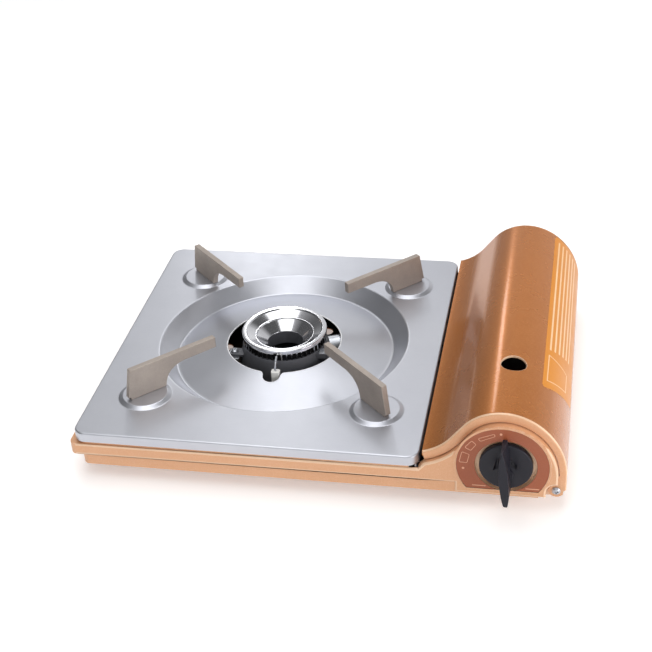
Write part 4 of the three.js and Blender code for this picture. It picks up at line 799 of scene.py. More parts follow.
@dataclass
class TopPlate(SubAssembly):
    """The pressed steel plate with its bowl, its burner hole and the four raised seats."""

    width: float = 246.6
    depth: float = 267.0
    corner: float = 9.0
    skirt: float = 7.3
    edge_radius: float = 2.4
    centre_x: float = 125.0
    centre_y: float = 135.9
    rim: float = 95.8
    rim_round: float = 4.5
    foot: float = 84.2
    drop: float = 11.3
    crease: float = 82.0
    crease_rise: float = 0.3
    hole: float = 43.7
    hole_drop: float = 1.8
    notch_half: float = 6.8
    notch_reach: float = 53.0
    notch_round: float = 3.2
    seat_offset: float = 85.5
    seat_foot: float = 19.5
    seat_top: float = 16.4
    seat_height: float = 2.0
    seat_round: float = 1.6
    foot_round: float = 2.6
    crease_round: float = 1.2
    sheet: float = 1.0
    hole_edge: tuple[Point, ...] = ((0.8, 0.0), (0.35, 0.1), (0.08, 0.35), (0.0, 0.8))
    steps: int = 180
    seat_steps: int = 56

    def hole_radius(self, angle: float) -> float:
        """The hole's radius at an angle from the front, in degrees: a circle with a notch."""
        phi = abs((angle + 180) % 360 - 180)
        end = self.notch_reach - self.notch_half
        side = math.degrees(math.atan2(self.notch_half, end))
        if phi <= side:
            a = math.radians(phi)
            return end * math.cos(a) + math.sqrt(max(self.notch_half**2 - (end * math.sin(a)) ** 2, 0))
        wide = math.degrees(self.notch_round / self.hole) + 0.6
        share = (phi - side) / wide
        if share >= 1:
            return self.hole
        corner = math.hypot(self.notch_half, end) - 0.6
        return self.hole + (corner - self.hole) * (1 - share) ** 3

    def cone(self, radius: float) -> float:
        """The height of the bowl's rising floor at a radius."""
        inner, outer = -self.hole_drop, -self.drop + self.crease_rise
        return inner + (outer - inner) * (radius - self.hole) / (self.crease - self.hole)

    def angles(self) -> list[float]:
        """Angles round the bowl from the front, closer together at the notch."""
        near = [i * 1.2 for i in range(-12, 13)]
        far = [14.4 + (360 - 28.8) * i / self.steps for i in range(1, self.steps)]
        return [*near, *far]

    def ring(
        self, shell: Shell, radius: Callable[[float], float], height: Callable[[float], float]
    ) -> Ring:
        """Adds one ring of the bowl, whose radius and height may follow the angle."""
        points = []
        for angle in self.angles():
            a = math.radians(angle - 90)
            r = radius(angle)
            points.append((self.centre_x + r * math.cos(a), self.centre_y + r * math.sin(a), height(r)))
        return shell.loop(points)

    def build(self) -> None:
        """Presses the plate out of one sheet."""
        shell = Shell()
        edge = rounded(
            [(9.0, 0, 0), (self.edge_radius + 0.4, 0, 0), (0, 0, self.edge_radius), (0, -self.skirt, 0)], 6
        )
        outer = []
        for inset, z in edge:
            shape = round_rect(inset, inset, self.width - inset, self.depth - inset, self.corner - inset, 10)
            outer.append(shell.loop((x, y, z) for x, y in shape))
        shell.skin(outer)
        bowl = self.bowl(shell)
        profile = rounded(
            [
                (self.seat_foot + 1.1, 0, 0), (self.seat_foot, 0, self.seat_round),
                (self.seat_top, self.seat_height, self.seat_round),
                (self.seat_top - 4, self.seat_height, 0), (0, self.seat_height, 0),
            ],
            4,
        )
        off = self.seat_offset
        seats = [
            shell.turn(profile, self.centre_x + u, self.centre_y + v, self.seat_steps)[0]
            for u in (-off, off) for v in (-off, off)
        ]
        shell.fill([outer[0], bowl, *seats])
        shell.face_up()
        Piece(
            "top_plate_pressed", "cooking_plate", PLATE_STEEL, ("top_plate",), thickness=self.sheet,
            extra=(STEEL_HIGHLIGHT,),
        ).make(shell, recalc=False)

    def bowl(self, shell: Shell) -> Ring:
        """Presses the bowl, down to the cut edge of its hole, and returns its outermost ring."""
        inner = self.crease - 3
        wall = rounded(
            [
                (self.rim + 2.2, 0, 0), (self.rim, 0, self.rim_round),
                (self.foot, -self.drop, self.foot_round),
                (self.crease, -self.drop + self.crease_rise, self.crease_round),
                (inner, self.cone(inner), 0),
            ],
            6,
        )
        rings = [self.ring(shell, lambda a, r=r: r, lambda r, z=z: z) for r, z in wall]
        ways = [
            (lambda a, s=share: inner + (self.hole_radius(a) + self.hole_edge[0][0] - inner) * s, self.cone)
            for share in (0.4, 0.75, 0.92)
        ]
        ways += [
            (lambda a, m=more: self.hole_radius(a) + m, lambda r, f=fall: self.cone(r) - f)
            for more, fall in self.hole_edge
        ]
        rings += [self.ring(shell, radius, height) for radius, height in ways]
        shell.skin(rings[:-3])
        # Painted highlight: the rolled edge of the hole takes the near-white steel.
        shell.skin(rings[-4:], slot=1)
        return rings[0]


@dataclass
class PotSupports(SubAssembly):
    """The four blades that carry the pot."""

    centre_x: float = 125.0
    centre_y: float = 135.9
    thick: float = 4.5
    base: float = 2.0
    foot_inner: float = 104.0
    foot_outer: float = 135.0
    top_outer: float = 131.0
    top: float = 26.5
    tip: float = 60.0
    tip_depth: float = 8.5
    throat_start: float = 88.0
    throat_pull: float = 102.5
    throat_level: float = 16.0
    relief: float = 2.0
    edge: float = 0.55
    steps: int = 12

    def outline(self) -> list[Point]:
        """The blade's side view, in distance from the burner and height."""
        under, low = self.top - self.tip_depth, self.base
        start, pull = (self.throat_start, under - 0.3), (self.throat_pull, self.throat_level)
        throat = []
        for t in (i / self.steps for i in range(self.steps + 1)):
            ways = zip(start, pull, (self.foot_inner, low))
            throat.append(tuple((1 - t) ** 2 * a + 2 * t * (1 - t) * b + t * t * c for a, b, c in ways))
        return [
            (self.foot_outer - self.relief, low),
            (self.foot_outer - self.relief, low + self.relief),
            (self.foot_outer, low + self.relief),
            (self.top_outer, self.top),
            (self.tip, self.top),
            (self.tip, under),
            *throat,
        ]

    def build(self) -> None:
        """Cuts each blade and turns it to its corner."""
        for i, name in enumerate(("rear_right", "rear_left", "front_left", "front_right")):
            shell = Shell()
            shell.slab(self.outline(), -self.thick / 2, self.thick / 2)
            turn = Matrix.Rotation(math.radians(45 + 90 * i), 4, "Z")
            place = Matrix.Translation((self.centre_x, self.centre_y, 0)) @ turn
            node = f"pot_support_{name}"
            Piece(
                f"{node}_blade", "cooking_plate", SUPPORT_CAST, (node,),
                bevel=self.edge, bevel_steps=3, bevel_angle=24.0, matrix=place,
            ).make(shell)


@dataclass
class BurnerHead(SubAssembly):
    """The bright funnel and the toothed flame ring under it."""

    x: float = 125.8
    y: float = 135.9
    rim: float = 32.6
    rim_inner: float = 29.4
    top: float = 9.3
    rim_height: float = 3.3
    step: float = 22.0
    step_top: float = 4.8
    throat: float = 13.5
    throat_top: float = 2.1
    throat_bottom: float = 13.0
    wall: float = 1.4
    slots: int = 52
    ring_outer: float = 32.0
    groove: float = 1.4
    ring_wall: float = 0.7
    ring_height: float = 5.8
    tooth_share: float = 0.25
    steps: int = 160

    def build(self) -> None:
        """Turns the funnel and has the flame ring cut under it."""
        seat = self.top - self.rim_height
        foot = self.throat + self.wall
        start = (self.ring_outer - self.groove - self.ring_wall, seat, 0)
        profile = rounded(
            [
                start, (self.rim, seat, 0.3), (self.rim, self.top, 0.9), (self.rim_inner, self.top, 0.5),
                (self.rim_inner - 0.9, self.top - 1.0, 0.5), (self.step + 0.5, self.step_top + 0.27, 0.1),
                (self.step, self.step_top + 0.3, 0.2), (self.step - 0.7, self.step_top - 0.7, 0.25),
                (self.throat, -self.throat_top, 0.6), (self.throat, -self.throat_bottom, 0.3),
                (foot, -self.throat_bottom, 0.3), (foot, -self.throat_top - self.wall, 1.0),
                (self.rim_inner, seat - self.wall, 0.6), start,
            ],
            4,
        )
        shell = Shell()
        shell.turn(profile[:-1] + [profile[0]], self.x, self.y, self.steps)
        for face in shell.bm.faces:
            low = face.calc_center_median().z < -self.throat_top - 0.5
            face.material_index = 1 if low and self.away(face) < foot + 0.2 else 0
        Piece("burner_funnel", "base", BURNER_BRIGHT, ("burner_head",), extra=(BURNER_DARK,)).make(shell)
        self.ring(seat)

    def away(self, face: bmesh.types.BMFace) -> float:
        """How far a face is from the burner's axis."""
        return (face.calc_center_median() - Vector((self.x, self.y, 0))).to_2d().length

    def ring(self, seat: float) -> None:
        """Cuts the toothed ring, which reaches up to the funnel's seat."""
        shell = Shell()
        pitch = 2 * math.pi / self.slots
        groove = self.ring_outer - self.groove
        outline: list[Point] = []
        outer, tooth = self.ring_outer, self.tooth_share
        for i in range(self.slots):
            for r, share in ((outer, 0), (outer, tooth), (groove, tooth), (groove, 0.62), (groove, 1)):
                a = i * pitch + share * pitch
                outline.append((r * math.cos(a), r * math.sin(a)))
        bore = groove - self.ring_wall
        inner = [(bore * math.cos(a), bore * math.sin(a)) for a in (math.atan2(v, u) for u, v in outline)]
        low = seat - self.ring_height
        rows = [
            shell.loop((self.x + u, self.y + v, z) for u, v in shape)
            for shape, z in ((inner, low), (outline, low), (outline, seat), (inner, seat))
        ]
        shell.skin([*rows, rows[0]])
        # Painted shade: faces deep in the grooves, inside the teeth, take the near-black paint.
        for face in shell.bm.faces:
            face.material_index = 1 if self.away(face) < self.ring_outer - 0.3 else 0
        Piece("flame_ring_cut", "base", BURNER_BRIGHT, ("flame_ring",), extra=(SLOT_SHADE_PAINT,)).make(shell)


@dataclass
class LidShape:
    """The lid's cross-section in x and z, from its left lip to its right edge."""

    lip_x: float = 248.5
    lip_rise: float = 2.3
    hollow_radius: float = 36.0
    top: Corner = (302.6, 3.4, 34.5)
    shoulder: Corner = (300.659, -3.844, 42.0)
    flank: Corner = (295.793, -9.643, 49.57)
    end_z: float = -22.3
    lean: float = 15.0
    even_until: float = 0.42
    even_from: float = 0.85

    def curve(self) -> list[tuple[Vector, Vector]]:
        """Points of the lid's outer face with the way out of it."""
        rows: list[tuple[Vector, Vector]] = []
        lean = math.radians(self.lean)
        hollow = (
            self.lip_x - self.hollow_radius * math.sin(lean),
            self.lip_rise + self.hollow_radius * math.cos(lean),
            self.hollow_radius,
        )
        for (x, z, radius), start, end, steps, way in (
            (hollow, -75, -39, 16, -1), (self.top, 141, 75, 28, 1),
            (self.shoulder, 75, 50, 12, 1), (self.flank, 50, 0, 26, 1),
        ):
            for p in arc((x, z), radius, start, end, steps)[1 if rows else 0 :]:
                rows.append((Vector(p), (Vector(p) - Vector((x, z))).normalized() * way))
        rows.append((Vector((self.flank[0] + self.flank[2], self.end_z)), Vector((1, 0))))
        return rows

    def lengths(self) -> list[float]:
        """The share of the curve's length at each of its points."""
        rows = [p for p, _ in self.curve()]
        sums = [0.0]
        for a, b in zip(rows, rows[1:]):
            sums.append(sums[-1] + (b - a).length)
        return [s / sums[-1] for s in sums]

    def inset(self, left: float, right: float) -> list[Point]:
        """The curve moved inwards, by one amount at its left and top and by another at its right."""
        made = []
        for (at, out), t in zip(self.curve(), self.lengths()):
            s = min(max((t - self.even_until) / (self.even_from - self.even_until), 0.0), 1.0)
            blend = s * s * (3 - 2 * s)
            made.append(tuple(at - out * (left + (right - left) * blend)))
        return made

    def outside(self, angle: float, lift: float) -> Point:
        """A point a little off the outer face, where the way out has an angle from the right, in degrees."""
        x, z, radius = self.top if angle >= 75 else self.shoulder if angle >= 50 else self.flank
        a = math.radians(angle)
        return (x + (radius + lift) * math.cos(a), z + (radius + lift) * math.sin(a))


@dataclass
class Lid(SubAssembly):
    """The hinged cover over the cartridge, with its window, its flat ends and the ears of its hinge."""

    shape: LidShape = field(default_factory=LidShape)
    front: float = 4.4
    rear: float = 265.4
    edge: float = 1.5
    flange_left: float = 6.5
    flange_right: float = 4.8
    sheet: float = 0.8
    hem: float = 4.0
    pivot_x: float = 338.663
    pivot_z: float = -22.3
    ear: float = 5.6
    shallow: float = -11.0
    run_in: float = 20.0
    stations: int = 12
    # Painted light: the first strips of the rolled edge take copper as a lit copy of the bronze, the next
    # ones the lighter copper of a painted highlight.
    lit_copper_rows: int = 4
    highlight_rows: int = 7
    window_x: float = 305.1
    window_y: float = 64.5
    window_radius: float = 9.2
    window_steps: int = 72
    rim_profile: tuple[Point, ...] = (
        (-0.12, -0.2), (0.03, -0.02), (0.25, -0.12), (0.4, -0.5), (0.4, -1.5), (-0.12, -1.5),
    )

    def rows(self) -> list[Point]:
        """Depth from the front with the inset, from the flat end's edge round to the top."""
        made = [(0.0, self.edge + 0.6)]
        for i in range(6):
            a = math.radians(90 * i / 5)
            made.append((self.edge * (1 - math.cos(a)), self.edge * (1 - math.sin(a))))
        made.append((self.edge + 1.5, 0.0))
        return made

    def end(self, shell: Shell, rim: Ring, y: float) -> None:
        """Fills one flat end: the flange inside the rolled edge, and the ear that the hinge screw passes."""
        drop = math.degrees(math.acos((rim[-1].co.x - self.pivot_x) / self.ear))
        ear = arc((self.pivot_x, self.pivot_z), self.ear, -drop, -180, 22)
        inner = [p for p in self.shape.inset(self.flange_left, self.flange_right) if p[1] >= self.shallow]
        rest = shell.loop((x, y, z) for x, z in (*ear, *reversed(inner)))
        # Painted light: the flat end takes the tray's copper paint, a lit copy of the lid's bronze paint.
        shell.fill([[*rim, *rest]], 1)

    def build(self) -> None:
        """Bends the sheet, cuts its window and adds the window's rim and the hem."""
        shell = Shell()
        steps = [(self.front + d, inset, i) for i, (d, inset) in enumerate(self.rows())]
        first, span = self.front + self.run_in, self.rear - self.front - 2 * self.run_in
        count = self.stations
        steps += [(first + i * span / (count - 1), 0.0, self.highlight_rows) for i in range(count)]
        steps += [(self.rear - d, inset, i) for i, (d, inset) in reversed(list(enumerate(self.rows())))]
        grid = [
            (i, shell.loop((x, y, z) for x, z in self.shape.inset(inset, inset))) for y, inset, i in steps
        ]
        # Painted light: the front and rear strips of the rolled edge take copper, the strips after them
        # lighter copper as a painted highlight, the rest bronze.
        for (i, a), (j, b) in zip(grid, grid[1:]):
            level = max(i, j)
            slot = 1 if level < self.lit_copper_rows else 2 if level < self.highlight_rows else 0
            shell.skin([a, b], closed=False, slot=slot)
        self.end(shell, grid[0][1], self.front)
        self.end(shell, grid[-1][1], self.rear)
        shell.face_up()
        lid = Piece(
            "lid_shell", "lid", BRONZE_PAINT, ("lid",), thickness=self.sheet,
            extra=(COPPER_PAINT, COPPER_HIGHLIGHT),
        ).make(shell, recalc=False)
        hole = Shell()
        profile = [(0, 20), (self.window_radius, 20), (self.window_radius, 60), (0, 60)]
        hole.turn(profile, self.window_x, self.window_y, self.window_steps)
        pierced(lid, hole)
        self.rim()
        hem = Shell()
        x, rise = self.shape.lip_x, self.shape.lip_rise
        profile = [(x, rise), (x, rise - self.hem), (x + self.sheet, rise - self.hem), (x + self.sheet, rise)]
        hem.slab(profile, self.front + 0.5, self.rear - 0.5)
        Piece("lid_hem", "lid", BRONZE_PAINT, bevel=0.3).make(hem)

    def rim(self) -> None:
        """Lines the window with a thin turned-in edge that follows the lid's bend, in a lighter copper as a
        painted highlight.
        """
        shell = Shell()
        loops = []
        for inside, lift in self.rim_profile:
            r = self.window_radius - inside
            cx, cz, radius = self.shape.top
            spots = [(self.window_x + r * c, self.window_y + r * s) for c, s in circle(self.window_steps)]
            loops.append(
                shell.loop((x, y, cz + math.sqrt(radius**2 - (x - cx) ** 2) + lift) for x, y in spots)
            )
        shell.skin([*loops, loops[0]])
        # Painted highlight: the rim takes the lighter copper.
        Piece("lid_window_rim", "lid", COPPER_HIGHLIGHT).make(shell)


@dataclass
class LidFilm(SubAssembly):
    """The amber film on the lid's right shoulder, with plain ruled lines and an empty outlined field."""

    shape: LidShape = field(default_factory=LidShape)
    left: float = 54.0
    right: float = 9.0
    low: float = 49.8
    slant: float = 0.424
    high: float = 262.0
    thick: float = 0.05
    print_thick: float = 0.03
    corner: float = 3.0
    degree: float = 0.75
    steps: int = 32
    field_left: float = 49.5
    field_right: float = 24.0
    field_in: float = 8.0
    field_rear: float = 92.0
    field_line: float = 0.8
    field_turn: float = 1.0
    lines: int = 6
    line_left: float = 49.0
    line_pitch: float = 5.2
    line_wide: float = 1.8
    line_front: float = 99.0
    line_slant: float = 2.2
    line_rear: float = 256.0

    def edge(self, angle: float) -> float:
        """Where the film's slanting front edge lies at an angle."""
        return self.low + (self.left - angle) * self.slant

    def patch(
        self, name: str, columns: Sequence[Corner], lift: float, thick: float, finish: Finish = CREAM_PRINT
    ) -> None:
        """Lays a closed thin sheet on the lid.

        Args:
            name: The piece's name.
            columns: An angle with the front and the rear end of the sheet there, from left to right.
            lift: How far the sheet's under face is off the lid.
            thick: How thick the sheet is.
            finish: The sheet's finish.
        """
        shell = Shell()
        sides = []
        for level in (lift, lift + thick):
            rows = [(self.shape.outside(angle, level), front, rear) for angle, front, rear in columns]
            fronts = [(x, front, z) for (x, z), front, _ in rows]
            rears = [(x, rear, z) for (x, z), _, rear in rows]
            sides.append(shell.loop([*fronts, *reversed(rears)]))
        shell.skin(sides)
        count = len(columns)
        for side in sides:
            for i in range(count - 1):
                shell.bm.faces.new([side[i], side[i + 1], side[2 * count - 2 - i], side[2 * count - 1 - i]])
        Piece(name, "lid", finish).make(shell)

    def field_outline(self) -> None:
        """Lays the empty field's outline on the film: two lines along it and two across it."""
        left, right, rear, width = self.field_left, self.field_right, self.field_rear, self.field_line

        def front(angle: float) -> float:
            """Where the field's front edge lies at an angle."""
            return self.edge(angle) + self.field_in

        turn = self.field_turn
        for i, (a, b) in enumerate(((left, left - turn), (right + turn, right))):
            side = [(t, front(t), rear) for t in (a + (b - a) * k / 2 for k in range(3))]
            self.patch(f"film_field_side_{i}", side, self.thick, self.print_thick)
        half = self.steps // 2
        steps = [left + (right - left) * k / half for k in range(half + 1)]
        across = self.print_thick + 0.002
        self.patch("film_field_front", [(t, front(t), front(t) + width) for t in steps], self.thick, across)
        self.patch("film_field_rear", [(t, rear - width, rear) for t in steps], self.thick, across)

    def build(self) -> None:
        """Lays the film, its outlines and its lines."""
        columns = []
        for i in range(self.steps + 1):
            angle = self.left + (self.right - self.left) * i / self.steps
            off = min(self.left - angle, angle - self.right) * self.degree
            round_off = self.corner - math.sqrt(max(self.corner**2 - max(self.corner - off, 0.0) ** 2, 0.0))
            columns.append((angle, self.edge(angle) + round_off, self.high - round_off))
        self.patch("lid_film", columns, 0.0, self.thick, AMBER_FILM)
        self.field_outline()
        for i in range(self.lines):
            left, front = self.line_left - i * self.line_pitch, self.line_front + i * self.line_slant
            span = [(left - k * self.line_wide / 2, front, self.line_rear) for k in range(3)]
            self.patch(f"film_line_{i}", span, self.thick, self.print_thick)


@dataclass
class Knob(SubAssembly):
    """The black turning knob: a flat disc with two pockets and a high slanting grip."""

    x: float = 305.1
    face: float = -1.1
    z: float = -1.7
    radius: float = 17.9
    thick: float = 4.4
    tray_front: float = 0.3
    boss_radius: float = 5.0
    boss_drop: float = 5.8
    boss_proud: float = 1.2
    pocket_depth: float = 2.0
    grip_slant: float = -0.09
    pockets: tuple[tuple[Point, ...], ...] = (
        ((-0.23, 0.44), (-0.35, 0.36), (-0.48, -0.18), (-0.29, -0.08)),
        ((0.19, 0.43), (0.19, 0.07), (0.39, -0.1), (0.41, 0.14)),
    )
    grip_levels: tuple[tuple[float, float, float, float], ...] = (
        (22.6, 15.2, 1.2, 3.2), (22.2, 16.2, 1.4, 3.3), (21.0, 16.9, 1.6, 3.5), (18.0, 17.4, 2.9, 3.9),
        (14.0, 17.9, 4.2, 4.4), (7.3, 18.9, 6.0, 5.2), (-2.0, 20.3, 6.4, 5.8), (-10.0, 21.7, 5.3, 6.1),
        (-14.0, 22.3, 4.1, 6.2), (-15.8, 22.6, 3.2, 6.3), (-17.0, 22.0, 2.6, 6.3),
        (-17.8, 21.0, 2.2, 6.3), (-18.0, 19.8, 2.0, 6.3),
    )

    def disc(self) -> None:
        """Turns the disc, rounds its edge and sinks its pockets."""
        shell = Shell()
        back = self.face + self.thick
        inner = self.radius - 2
        profile = rounded(
            [
                (inner, self.face, 0), (self.radius, self.face, 0.9), (self.radius, back, 0.4),
                (inner, back, 0.3), (inner, back - 1.2, 0),
            ],
            4,
        )
        rings = shell.turn(profile, self.x, self.z, 96, axis="y")
        shell.bm.faces.new(rings[0])
        shell.bm.faces.new(rings[-1])
        made = Piece("knob_disc", "knob", BLACK_PLASTIC, ("knob",)).make(shell)
        for shares in self.pockets:
            hole = Shell()
            corners = [(self.x + u * self.radius, self.z + v * self.radius) for u, v in shares]
            hole.slab(corners, self.face - 1, self.face + self.pocket_depth)
            pierced(made, hole)

    def grip(self) -> None:
        """Lofts the grip through its levels: height, reach, width at its outer face and width at its foot."""
        shell = Shell()
        rows = []
        for z, reach, outer, base in self.grip_levels:
            lean = self.grip_slant * z
            tip, foot, soft = self.tray_front - reach, self.face + 0.4, 0.45
            side = min(soft, outer * 0.3)
            points = (
                (-base / 2, foot), (-outer / 2, tip + soft), (-outer / 2 + side * 0.3, tip + soft * 0.3),
                (-outer / 2 + side, tip), (0.0, tip), (outer / 2 - side, tip),
                (outer / 2 - side * 0.3, tip + soft * 0.3), (outer / 2, tip + soft), (base / 2, foot),
            )
            share = [(y - foot) / (tip - foot) for _, y in points]
            rows.append(shell.loop(
                (self.x + u + lean * (0.35 + 0.65 * s), y, self.z + z) for (u, y), s in zip(points, share)
            ))
        shell.skin(rows)
        shell.bm.faces.new(rows[0])
        shell.bm.faces.new(rows[-1])
        Piece(
            "knob_grip", "knob", BLACK_PLASTIC, bevel=0.25, bevel_angle=50.0, smooth_angle=34.0
        ).make(shell)

    def build(self) -> None:
        """Makes the disc, the grip and the half-round boss beside it."""
        self.disc()
        self.grip()
        shell = Shell()
        outline = arc((self.x, self.z - self.boss_drop), self.boss_radius, -90, 90, 28)
        shell.slab(outline, self.face - self.boss_proud, self.face + 0.3)
        Piece("knob_boss", "knob", BLACK_PLASTIC, bevel=0.35).make(shell)


@dataclass
class DialMarks(SubAssembly):
    """Plain outlined bars and dots on the dial, which grow with the flame."""

    x: float = 302.9
    z: float = -2.2
    face: float = -0.1
    proud: float = 0.08
    line: float = 0.42
    dash_z: float = -19.3
    dashes: tuple[float, float] = (287.3, 323.0)
    dash_half: float = 4.6
    dash_thin: float = 0.35
    dots: tuple[Point, ...] = ((187.0, 26.4), (93.0, 26.8))
    dot: float = 0.9
    sunk: float = 0.05
    bars: tuple[tuple[float, float, float, float], ...] = (
        (177.0, 158.5, 23.4, 5.7), (151.0, 135.5, 24.0, 5.0), (127.0, 101.5, 24.6, 3.0),
    )

    def bar(self, index: int, start: float, end: float, near: float, tall: float) -> None:
        """Bends one outlined bar round the dial."""
        middle = near + tall / 2
        span = math.radians(start - end) * middle

        def bend(shrink: float) -> list[Point]:
            """The bar's outline, moved inwards, in x and z."""
            made = []
            for along, up in round_rect(shrink, shrink, span - shrink, tall - shrink, 1.0 - shrink, 5):
                a = math.radians(start) - along / middle
                taper = 1.0 - 0.25 * index / 2 * along / span
                r = near + tall * (1 - taper) / 2 + up * taper
                made.append((self.x + r * math.cos(a), self.z + r * math.sin(a)))
            return made

        shell = Shell()
        shell.hoop(bend(0.0), bend(self.line), self.face - self.proud, self.face + self.sunk)
        Piece(f"dial_bar_{index}", "base", DIAL_PRINT).make(shell)

    def build(self) -> None:
        """Lays the bars, a plain dot at each end of their row and two plain dashes below."""
        near, far = self.face - self.proud, self.face + self.sunk
        half, low, high = self.dash_half, self.dash_z - self.dash_thin, self.dash_z + self.dash_thin
        for index, sizes in enumerate(self.bars):
            self.bar(index, *sizes)
        for index, x in enumerate(self.dashes):
            shell = Shell()
            shell.slab(round_rect(x - half, low, x + half, high, 0.3, 4), near, far)
            Piece(f"dial_dash_{index}", "base", DIAL_PRINT).make(shell)
        for index, (angle, r) in enumerate(self.dots):
            shell = Shell()
            a = math.radians(angle)
            profile = [(0, near), (self.dot, near), (self.dot, far), (0, far)]
            shell.turn(profile, self.x + r * math.cos(a), self.z + r * math.sin(a), 24, axis="y")
            Piece(f"dial_dot_{index}", "base", DIAL_PRINT).make(shell)


@dataclass
class Tray(SubAssembly):
    """The copper tray, whose front and rear panels have broad soft edges in a lighter copper, a painted
    highlight.
    """

    faces: tuple[float, float] = (0.3, 266.7)
    dial_x: float = 302.9
    dial_z: float = -2.2
    dial_reach: float = 33.6
    broad: float = 1.5
    knob_x: float = 305.1
    knob_z: float = -1.7
    dish: float = 21.0
    dish_back: float = 6.0
    # Up-facing floor faces below this height take the near-black paint of painted shade.
    low: float = -20.0
    ledge: float = -18.8

    def on_edge(self, at: Vector) -> bool:
        """Whether a point lies on a panel's outline, away from the dial."""
        if min(abs(at.y - y) for y in self.faces) > 0.05:
            return False
        return math.hypot(at.x - self.dial_x, at.z - self.dial_z) > self.dial_reach

    def paint(self, face: bmesh.types.BMFace) -> int:
        """Which paint a face has: the dish round the knob takes a lighter copper as a painted highlight, the
        up-facing floor under the plate a near-black paint as painted shade.
        """
        at = face.calc_center_median()
        # Painted highlight: the dish round the knob takes the lighter copper.
        if math.hypot(at.x - self.knob_x, at.z - self.knob_z) < self.dish and 0.6 < at.y < self.dish_back:
            return 2
        # Painted shade: up-facing floor faces low in the tray take the near-black paint.
        if at.z < self.low and face.normal.z > 0.5:
            return 1
        return 0

    def build(self) -> None:
        """Copies the tray with its edges rounded."""
        piece = Piece(
            "body_tray_fine", "base", COPPER_PAINT, ("body_tray",), bevel=0.25,
            extra=(FLOOR_SHADE_PAINT, COPPER_HIGHLIGHT),
        )
        refined("body_tray", piece, self.on_edge, self.broad, self.paint, self.ledge)


@dataclass
class BurnerCasting(SubAssembly):
    """The dark cast body under the flame ring, with its bright machined arm."""

    arm: float = 160.5

    def build(self) -> None:
        """Copies the casting with its edges rounded."""
        piece = Piece(
            "burner_body_fine", "base", BURNER_DARK, ("burner_body",), bevel=0.4, extra=(ZINC_STEEL,)
        )
        refined("burner_body", piece, paint=lambda f: 1 if f.calc_center_median().x > self.arm else 0)


@dataclass
class CameraRig:
    """The photograph's view."""

    place: Place = (346.6, -702.6, 557.8)
    right: Place = (0.98128, 0.18482, -0.05414)
    up: Place = (-0.05430, 0.53527, 0.84293)
    back: Place = (0.18477, -0.82421, 0.53529)
    lens: float = 73.71

    def build(self) -> None:
        """Makes the camera and gives it to the scene."""
        data = bpy.data.cameras.new("photo_camera")
        data.lens = self.lens
        data.sensor_width = 36.0
        data.clip_start, data.clip_end = 0.02, 60.0
        rig = linked("photo_camera", data)
        turn = Matrix((self.right, self.up, self.back)).transposed().to_4x4()
        rig.matrix_world = Matrix.Translation(row(*self.place)) @ turn
        bpy.context.scene.camera = rig


@dataclass(frozen=True)
class Lamp:
    """One soft lamp: where it is, what it points at, how large it is and how bright."""

    name: str
    place: Place
    aim: Place
    size: tuple[float, float]
    power: float


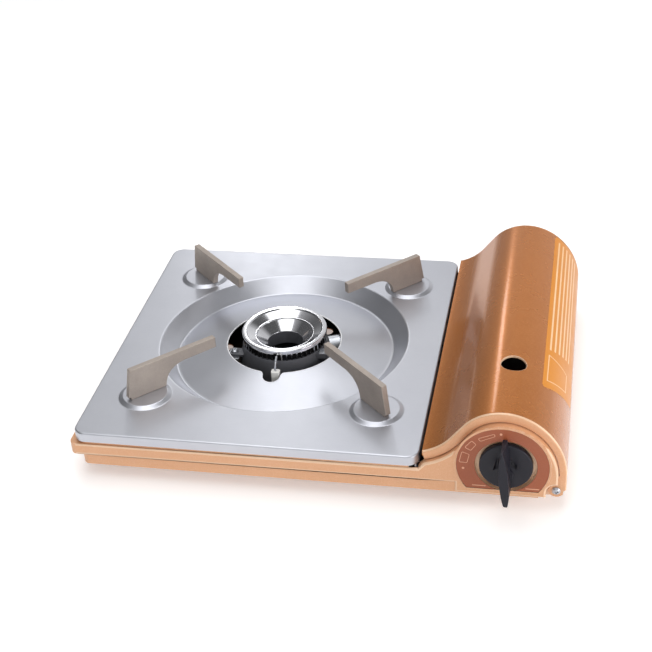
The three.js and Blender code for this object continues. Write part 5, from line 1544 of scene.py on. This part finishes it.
@dataclass
class Studio:
    """The pale floor, the soft lamps and the white surroundings."""

    floor_size: float = 12.0
    floor_glow: float = 0.32
    lamps: tuple[Lamp, ...] = (
        Lamp("overhead", (-0.1, -0.05, 1.25), (-0.1, -0.05, 0.0), (0.9, 1.7), 8.0),
        Lamp("strip", (-0.5, 1.66, 1.02), (0.13, 0.0, 0.06), (0.12, 0.36), 1.05),
        Lamp("key", (1.3, -0.55, 0.45), (0.1, 0.0, 0.03), (0.8, 0.8), 8.0),
    )

    def build(self) -> None:
        """Makes the floor, the world and the lamps."""
        bpy.context.scene.view_settings.view_transform = "Standard"
        half = self.floor_size / 2
        mesh = bpy.data.meshes.new("studio_floor")
        corners = ((-half, -half, 0), (half, -half, 0), (half, half, 0), (-half, half, 0))
        mesh.from_pydata(corners, [], [(0, 1, 2, 3)])
        mesh.materials.append(self.floor_material())
        floor = linked("studio_floor", mesh)
        self.world()
        for lamp in self.lamps:
            data = bpy.data.lights.new(f"lamp_{lamp.name}", "AREA")
            data.shape = "RECTANGLE"
            data.size, data.size_y = lamp.size
            data.energy = lamp.power
            made = linked(f"lamp_{lamp.name}", data)
            made.location = lamp.place
            way = Vector(lamp.aim) - Vector(lamp.place)
            made.rotation_euler = way.to_track_quat("-Z", "Y").to_euler()

    def floor_material(self) -> bpy.types.Material:
        """A pale matt floor that the eye, and gloss, see a little lighter, so that only its shadow shows."""
        made = bpy.data.materials.new("studio_floor")
        tree = Tree.blank(made)
        light = tree.add("ShaderNodeLightPath")
        seen = tree.maths("ADD", light.outputs["Is Camera Ray"], light.outputs["Is Glossy Ray"])
        seen = tree.maths("ADD", seen, light.outputs["Is Transmission Ray"], clamp=True)
        matt = tree.add("ShaderNodeBsdfDiffuse", {"Color": (0.92, 0.92, 0.92, 1)})
        strength = tree.maths("MULTIPLY", seen, self.floor_glow)
        glow = tree.add("ShaderNodeEmission", {"Color": (1, 1, 1, 1), "Strength": strength})
        both = tree.add("ShaderNodeAddShader", {0: matt.outputs[0], 1: glow.outputs[0]})
        tree.add("ShaderNodeOutputMaterial", {0: both.outputs[0]})
        return made

    def world(self) -> None:
        """White surroundings: bright at the horizon, softer above and to the sides, white to the camera."""
        world = bpy.data.worlds.new("studio_world")
        tree = Tree.blank(world)
        way = tree.add("ShaderNodeTexCoord").outputs["Generated"]
        parts = tree.add("ShaderNodeSeparateXYZ", {0: way})
        level = tree.ramp(parts.outputs[2], 0.12, 0.5, 0.98, 0.82)
        left = tree.ramp(parts.outputs[0], -0.7, -0.15, 0.12, 1.0)
        high = tree.ramp(parts.outputs[2], 0.5, 0.68)
        side = tree.ramp(parts.outputs[0], 0.15, 0.32)
        right = tree.ramp(tree.maths("MULTIPLY", high, side), 0.0, 1.0, 1.0, 0.15)
        right = tree.maths("MULTIPLY", right, tree.ramp(parts.outputs[0], 0.32, 0.46, 1.0, 0.85))
        soft = tree.maths("MULTIPLY", level, tree.maths("MULTIPLY", left, right))
        seen = tree.add("ShaderNodeLightPath").outputs["Is Camera Ray"]
        white = tree.maths("MULTIPLY", seen, tree.maths("SUBTRACT", 1.0, soft))
        strength = tree.maths("ADD", soft, white)
        back = tree.add("ShaderNodeBackground", {"Color": (1, 1, 1, 1), "Strength": strength})
        tree.add("ShaderNodeOutputWorld", {0: back.outputs[0]})
        bpy.context.scene.world = world


CORNERS = ("front_left", "front_right", "rear_left", "rear_right")
BASE_ROWS = (
    ("dial_plate", DIAL_PAINT, 0.12),
    ("heat_shield", PLATE_STEEL, 0.2),
    ("heat_strip", ZINC_STEEL, 0.15),
    ("lid_catch", ZINC_STEEL, 0.1),
    ("burner_strap", ZINC_STEEL, 0.2),
    ("mixing_tube", TUBE_STEEL, 0.2),
    ("burner_screw", ZINC_STEEL, 0.15),
    ("electrode_insulator", CERAMIC, 0.25),
    ("electrode_pin", ZINC_STEEL, 0.0),
    ("electrode_bracket", ZINC_STEEL, 0.2),
    ("ignition_lead", RUBBER, 0.0),
    ("valve_body", ZINC_STEEL, 0.6),
    ("valve_bracket", ZINC_STEEL, 0.2),
    ("gas_nozzle", BRASS, 0.2),
    ("cartridge_socket", ZINC_STEEL, 0.4),
    ("socket_magnet_left", MAGNET, 0.2),
    ("socket_magnet_right", MAGNET, 0.2),
    ("igniter_body", BLACK_PLASTIC, 0.4),
    *((f"valve_screw_{side}", ZINC_STEEL, 0.15) for side in ("left", "right")),
    *((f"hinge_screw_{side}", ZINC_STEEL, 0.15) for side in ("front", "rear")),
    *((f"foot_{corner}", RUBBER, 0.5) for corner in CORNERS),
    *((f"foot_screw_{corner}", ZINC_STEEL, 0.15) for corner in CORNERS),
    *((f"shield_screw_{side}", ZINC_STEEL, 0.15) for side in ("front", "rear")),
)
KNOB_ROWS = (("valve_shaft", BRASS, 0.2), ("ignition_cam", BLACK_PLASTIC, 0.3))
PLUNGER_ROWS = (("igniter_plunger", BRASS, 0.15),)


def main() -> None:
    """Builds the camera, the studio and every sub-assembly."""
    logging.basicConfig(level=logging.INFO, format="%(message)s")
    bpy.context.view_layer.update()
    CameraRig().build()
    Studio().build()
    parts: tuple[SubAssembly, ...] = (
        TopPlate(),
        PotSupports(),
        BurnerHead(),
        BurnerCasting(),
        Lid(),
        LidFilm(),
        Tray(),
        DialMarks(),
        Knob(),
        Refined("base", BASE_ROWS),
        Refined("knob", KNOB_ROWS),
        Refined("igniter_plunger", PLUNGER_ROWS),
    )
    for part in parts:
        part.build()
        part.dress()
        log.info("%s is built and dressed", type(part).__name__)


if __name__ == "__main__":
    main()
